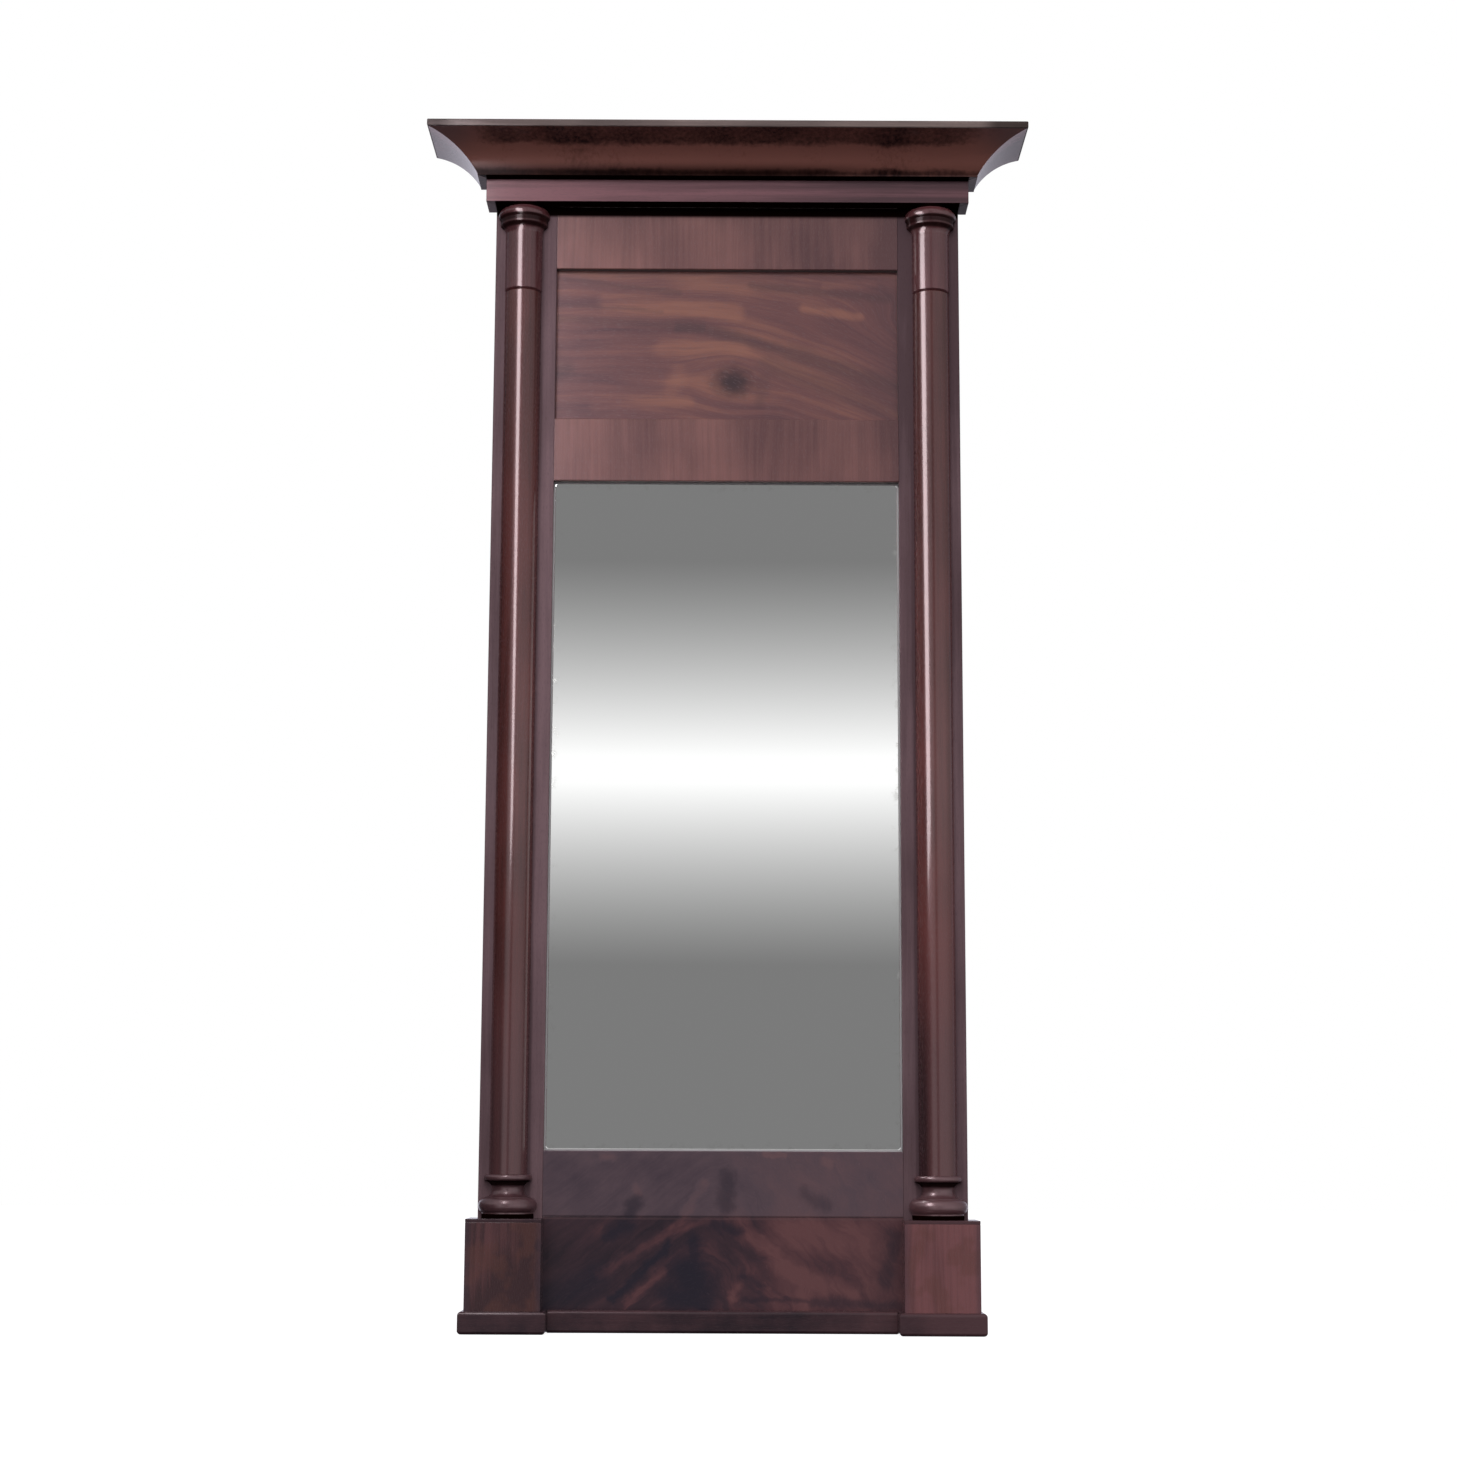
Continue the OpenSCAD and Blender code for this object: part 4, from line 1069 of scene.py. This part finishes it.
# %% [markdown]
# The studio
#
# The floor is pale and the room is white to the camera. A tall soft window that leans near
# the left column shows only in the polish, where it draws the long streak on each column.
# A broad light in front and an even sky over the horizon light everything else. Below the
# horizon the room is dark, so the undersides of the cornice stay dark. The wall behind is
# pale and bluish: it lights the sides, and shows in the polish that turns to it. The glass
# shows what lies behind the viewer: a grey room with a bright band at eye height.

# %% What the polish and the glass show
EYE_BAND = (3.9, 7.9, 8.5, 12.8)
BAND_CURVE = 1.12
DISPLAY_GAMMA = 2.2
ROOM_TONE = 0.485
BAND_TONE = 0.535
BESIDE_GLASS = (5, 9)
ABOVE_GLASS = (18, 26)
BELOW_GLASS = (-4, -12)
AROUND = 0.65
TO_THE_FLOOR = (-16, -30)
DARK_FLOOR = 0.08
DARK_SIDES = 0.35
LEFT_CORNER = (-28, -48)
LEFT_CORNER_TOP = (19, 14)
DARK_LEFT = 0.07
WALL_LOW = 1.5
WALL_HIGH = 1.4
WALL_LEFT = 0.78
WALL_RIGHT = 0.53


def sines(*degrees):
    """How far up or to the side directions point that lie so many degrees off the level."""
    return [math.sin(math.radians(angle)) for angle in degrees]


def room_in_gloss(maker, right, back, up):
    """The room as a reflection: grey with a bright band, and white where the wall is."""
    start, full, fall, end = sines(*EYE_BAND)
    rise = maker.node("ShaderNodeMapRange", up, start, full)
    drop = maker.node("ShaderNodeMapRange", up, end, fall)
    seen = (ROOM_TONE + BAND_TONE * (rise * drop) ** BAND_CURVE) ** DISPLAY_GAMMA
    around = maker.fade(right.absolute(), *sines(*BESIDE_GLASS))
    around = around.larger(maker.fade(up, *sines(*ABOVE_GLASS)))
    around = around.larger(maker.fade(up, *sines(*BELOW_GLASS)))
    seen = seen + around * AROUND
    seen = seen * maker.fade(up, *sines(*TO_THE_FLOOR), 1.0, DARK_FLOOR)
    seen = seen * maker.fade(back, -0.75, 0.4, 1.0, DARK_SIDES)
    corner = maker.fade(right, *sines(*LEFT_CORNER)) * maker.fade(up, *sines(*LEFT_CORNER_TOP))
    seen = seen * (1.0 - corner * (1 - DARK_LEFT))
    wall = maker.fade(back, 0.75, 0.9)
    white = maker.fade(up, -0.12, 0.3, WALL_LOW, WALL_HIGH)
    white = white * maker.fade(right, -0.3, 0.3, WALL_LEFT, WALL_RIGHT)
    return seen * (1.0 - wall) + wall * white


# %% The light of the room
SKY = 0.72
UNDER = 0.1
HORIZON = (-0.05, 0.15)
FRONT_LIT = 1.3
BACK_LIT = 0.5
WALL_LIT = 0.8
WALL_TINT = (0.89, 0.87, 1.0)
TO_THE_WALL = (0.15, 0.5)


def light_of_room(maker, back, up):
    """What falls on everything: sky over the horizon, less from behind, and the wall."""
    lit = maker.fade(up, *HORIZON, UNDER, SKY)
    lit = lit * maker.fade(back, -0.9, 0.2, FRONT_LIT, BACK_LIT)
    return lit.larger(maker.fade(back, *TO_THE_WALL) * WALL_LIT)


def build_room():
    world = bpy.data.worlds.new("room")
    bpy.context.scene.world = world
    world.use_nodes = True
    maker = Maker(world.node_tree)
    split = maker.node("ShaderNodeSeparateXYZ", maker.node("ShaderNodeTexCoord"))
    right, back, up = [Wire(maker, output) for output in split.socket.node.outputs]
    rays = maker.node("ShaderNodeLightPath").socket.node.outputs
    glossy = Wire(maker, rays["Is Glossy Ray"])
    camera = Wire(maker, rays["Is Camera Ray"])
    seen = room_in_gloss(maker, right, back, up)
    strength = light_of_room(maker, back, up) * (1.0 - glossy) + seen * glossy
    strength = strength * (1.0 - camera) + camera
    tinted = maker.fade(back, *TO_THE_WALL) * (1.0 - camera)
    tint = maker.blend(tinted, (1.0, 1.0, 1.0), WALL_TINT)
    maker.node("ShaderNodeOutputWorld", maker.node("ShaderNodeBackground", tint, strength))


build_room()

# %% The floor
FLOOR_HALF = 6.0
FLOOR_GAP = 0.2 * MM
FLOOR_PAINT = (0.9, 0.9, 0.9, 1)
FLOOR_GLOW = 1.75


def build_floor():
    """A pale floor that keeps the shadow, and neither lights the object nor shows in it."""
    mesh = bpy.data.meshes.new("floor")
    corners = [(x * FLOOR_HALF, y * FLOOR_HALF, 0) for x, y in ((-1, -1), (1, -1), (1, 1), (-1, 1))]
    mesh.from_pydata(corners, [], [(0, 1, 2, 3)])
    floor = add_object("floor", mesh)
    floor.location.z = CAD_BOX[0].z - FLOOR_GAP
    floor.visible_diffuse = False
    floor.visible_glossy = False
    material, maker = new_material("pale_floor")
    paint = maker.node("ShaderNodeBsdfDiffuse", FLOOR_PAINT)
    glow = maker.node("ShaderNodeEmission", (1, 1, 1, 1), FLOOR_GLOW)
    maker.node("ShaderNodeOutputMaterial", maker.node("ShaderNodeMixShader", 0.5, paint, glow))
    mesh.materials.append(material)


build_floor()


# %% The windows
def add_window(name, at, towards, width, height, radiance, glossy, roll=0.0):
    """A rectangular soft light, turned towards a point, for reflections or for all the rest."""
    light = bpy.data.lights.new(name, "AREA")
    light.shape = "RECTANGLE"
    light.size = width
    light.size_y = height
    light.energy = radiance * math.pi * width * height
    window = add_object(name, light)
    window.location = at
    aim = Vector(towards) - Vector(at)
    facing = aim.to_track_quat("-Z", "Y").to_matrix().to_4x4()
    turn = Matrix.Rotation(math.radians(roll), 4, aim) @ facing
    window.rotation_euler = turn.to_euler()
    window.visible_camera = False
    window.visible_glossy = glossy
    window.visible_diffuse = not glossy


add_window("window_left", at=(-382 * MM, WALL_Y - 626 * MM, 1150 * MM),
           towards=(608 * MM, WALL_Y - 486 * MM, 1150 * MM), width=490 * MM, height=1020 * MM,
           radiance=10.9, glossy=True, roll=-15)
add_window("sky_front", at=(-300 * MM, WALL_Y - 2200 * MM, 2100 * MM),
           towards=(0.0, WALL_Y, 800 * MM), width=1600 * MM, height=1200 * MM,
           radiance=2.15, glossy=False)

# %% [markdown]
# The camera
#
# The picture was taken from a little above the floor, looking up, so the verticals lean
# together. The camera stands where a fit of all the edges puts it, and is turned a quarter
# of a degree, as the picture is.

# %% Place the camera
CAMERA_X = 1.42 * MM
CAMERA_BACK = 3119.07 * MM
CAMERA_Z = 215.39 * MM
PITCH = math.radians(9.115)
ROLL = math.radians(0.247)
YAW = math.radians(0.05)
LENS_MM = 64.23
SENSOR_MM = 36
FAR_CLIP = 50


def place_camera():
    data = bpy.data.cameras.new("camera")
    data.lens = LENS_MM
    data.sensor_width = SENSOR_MM
    data.clip_end = FAR_CLIP
    camera = add_object("camera", data)
    ahead = Vector((math.sin(YAW) * math.cos(PITCH), math.cos(YAW) * math.cos(PITCH), math.sin(PITCH)))
    level = Vector((math.cos(YAW), -math.sin(YAW), 0))
    above = level.cross(ahead)
    right = math.cos(ROLL) * level + math.sin(ROLL) * above
    up = -math.sin(ROLL) * level + math.cos(ROLL) * above
    turn = Matrix((right, up, -ahead)).transposed()
    spot = Vector((CAMERA_X, WALL_Y - CAMERA_BACK, CAMERA_Z))
    camera.matrix_world = Matrix.Translation(spot) @ turn.to_4x4()
    bpy.context.scene.camera = camera


place_camera()
bpy.context.scene.view_settings.view_transform = "Standard"
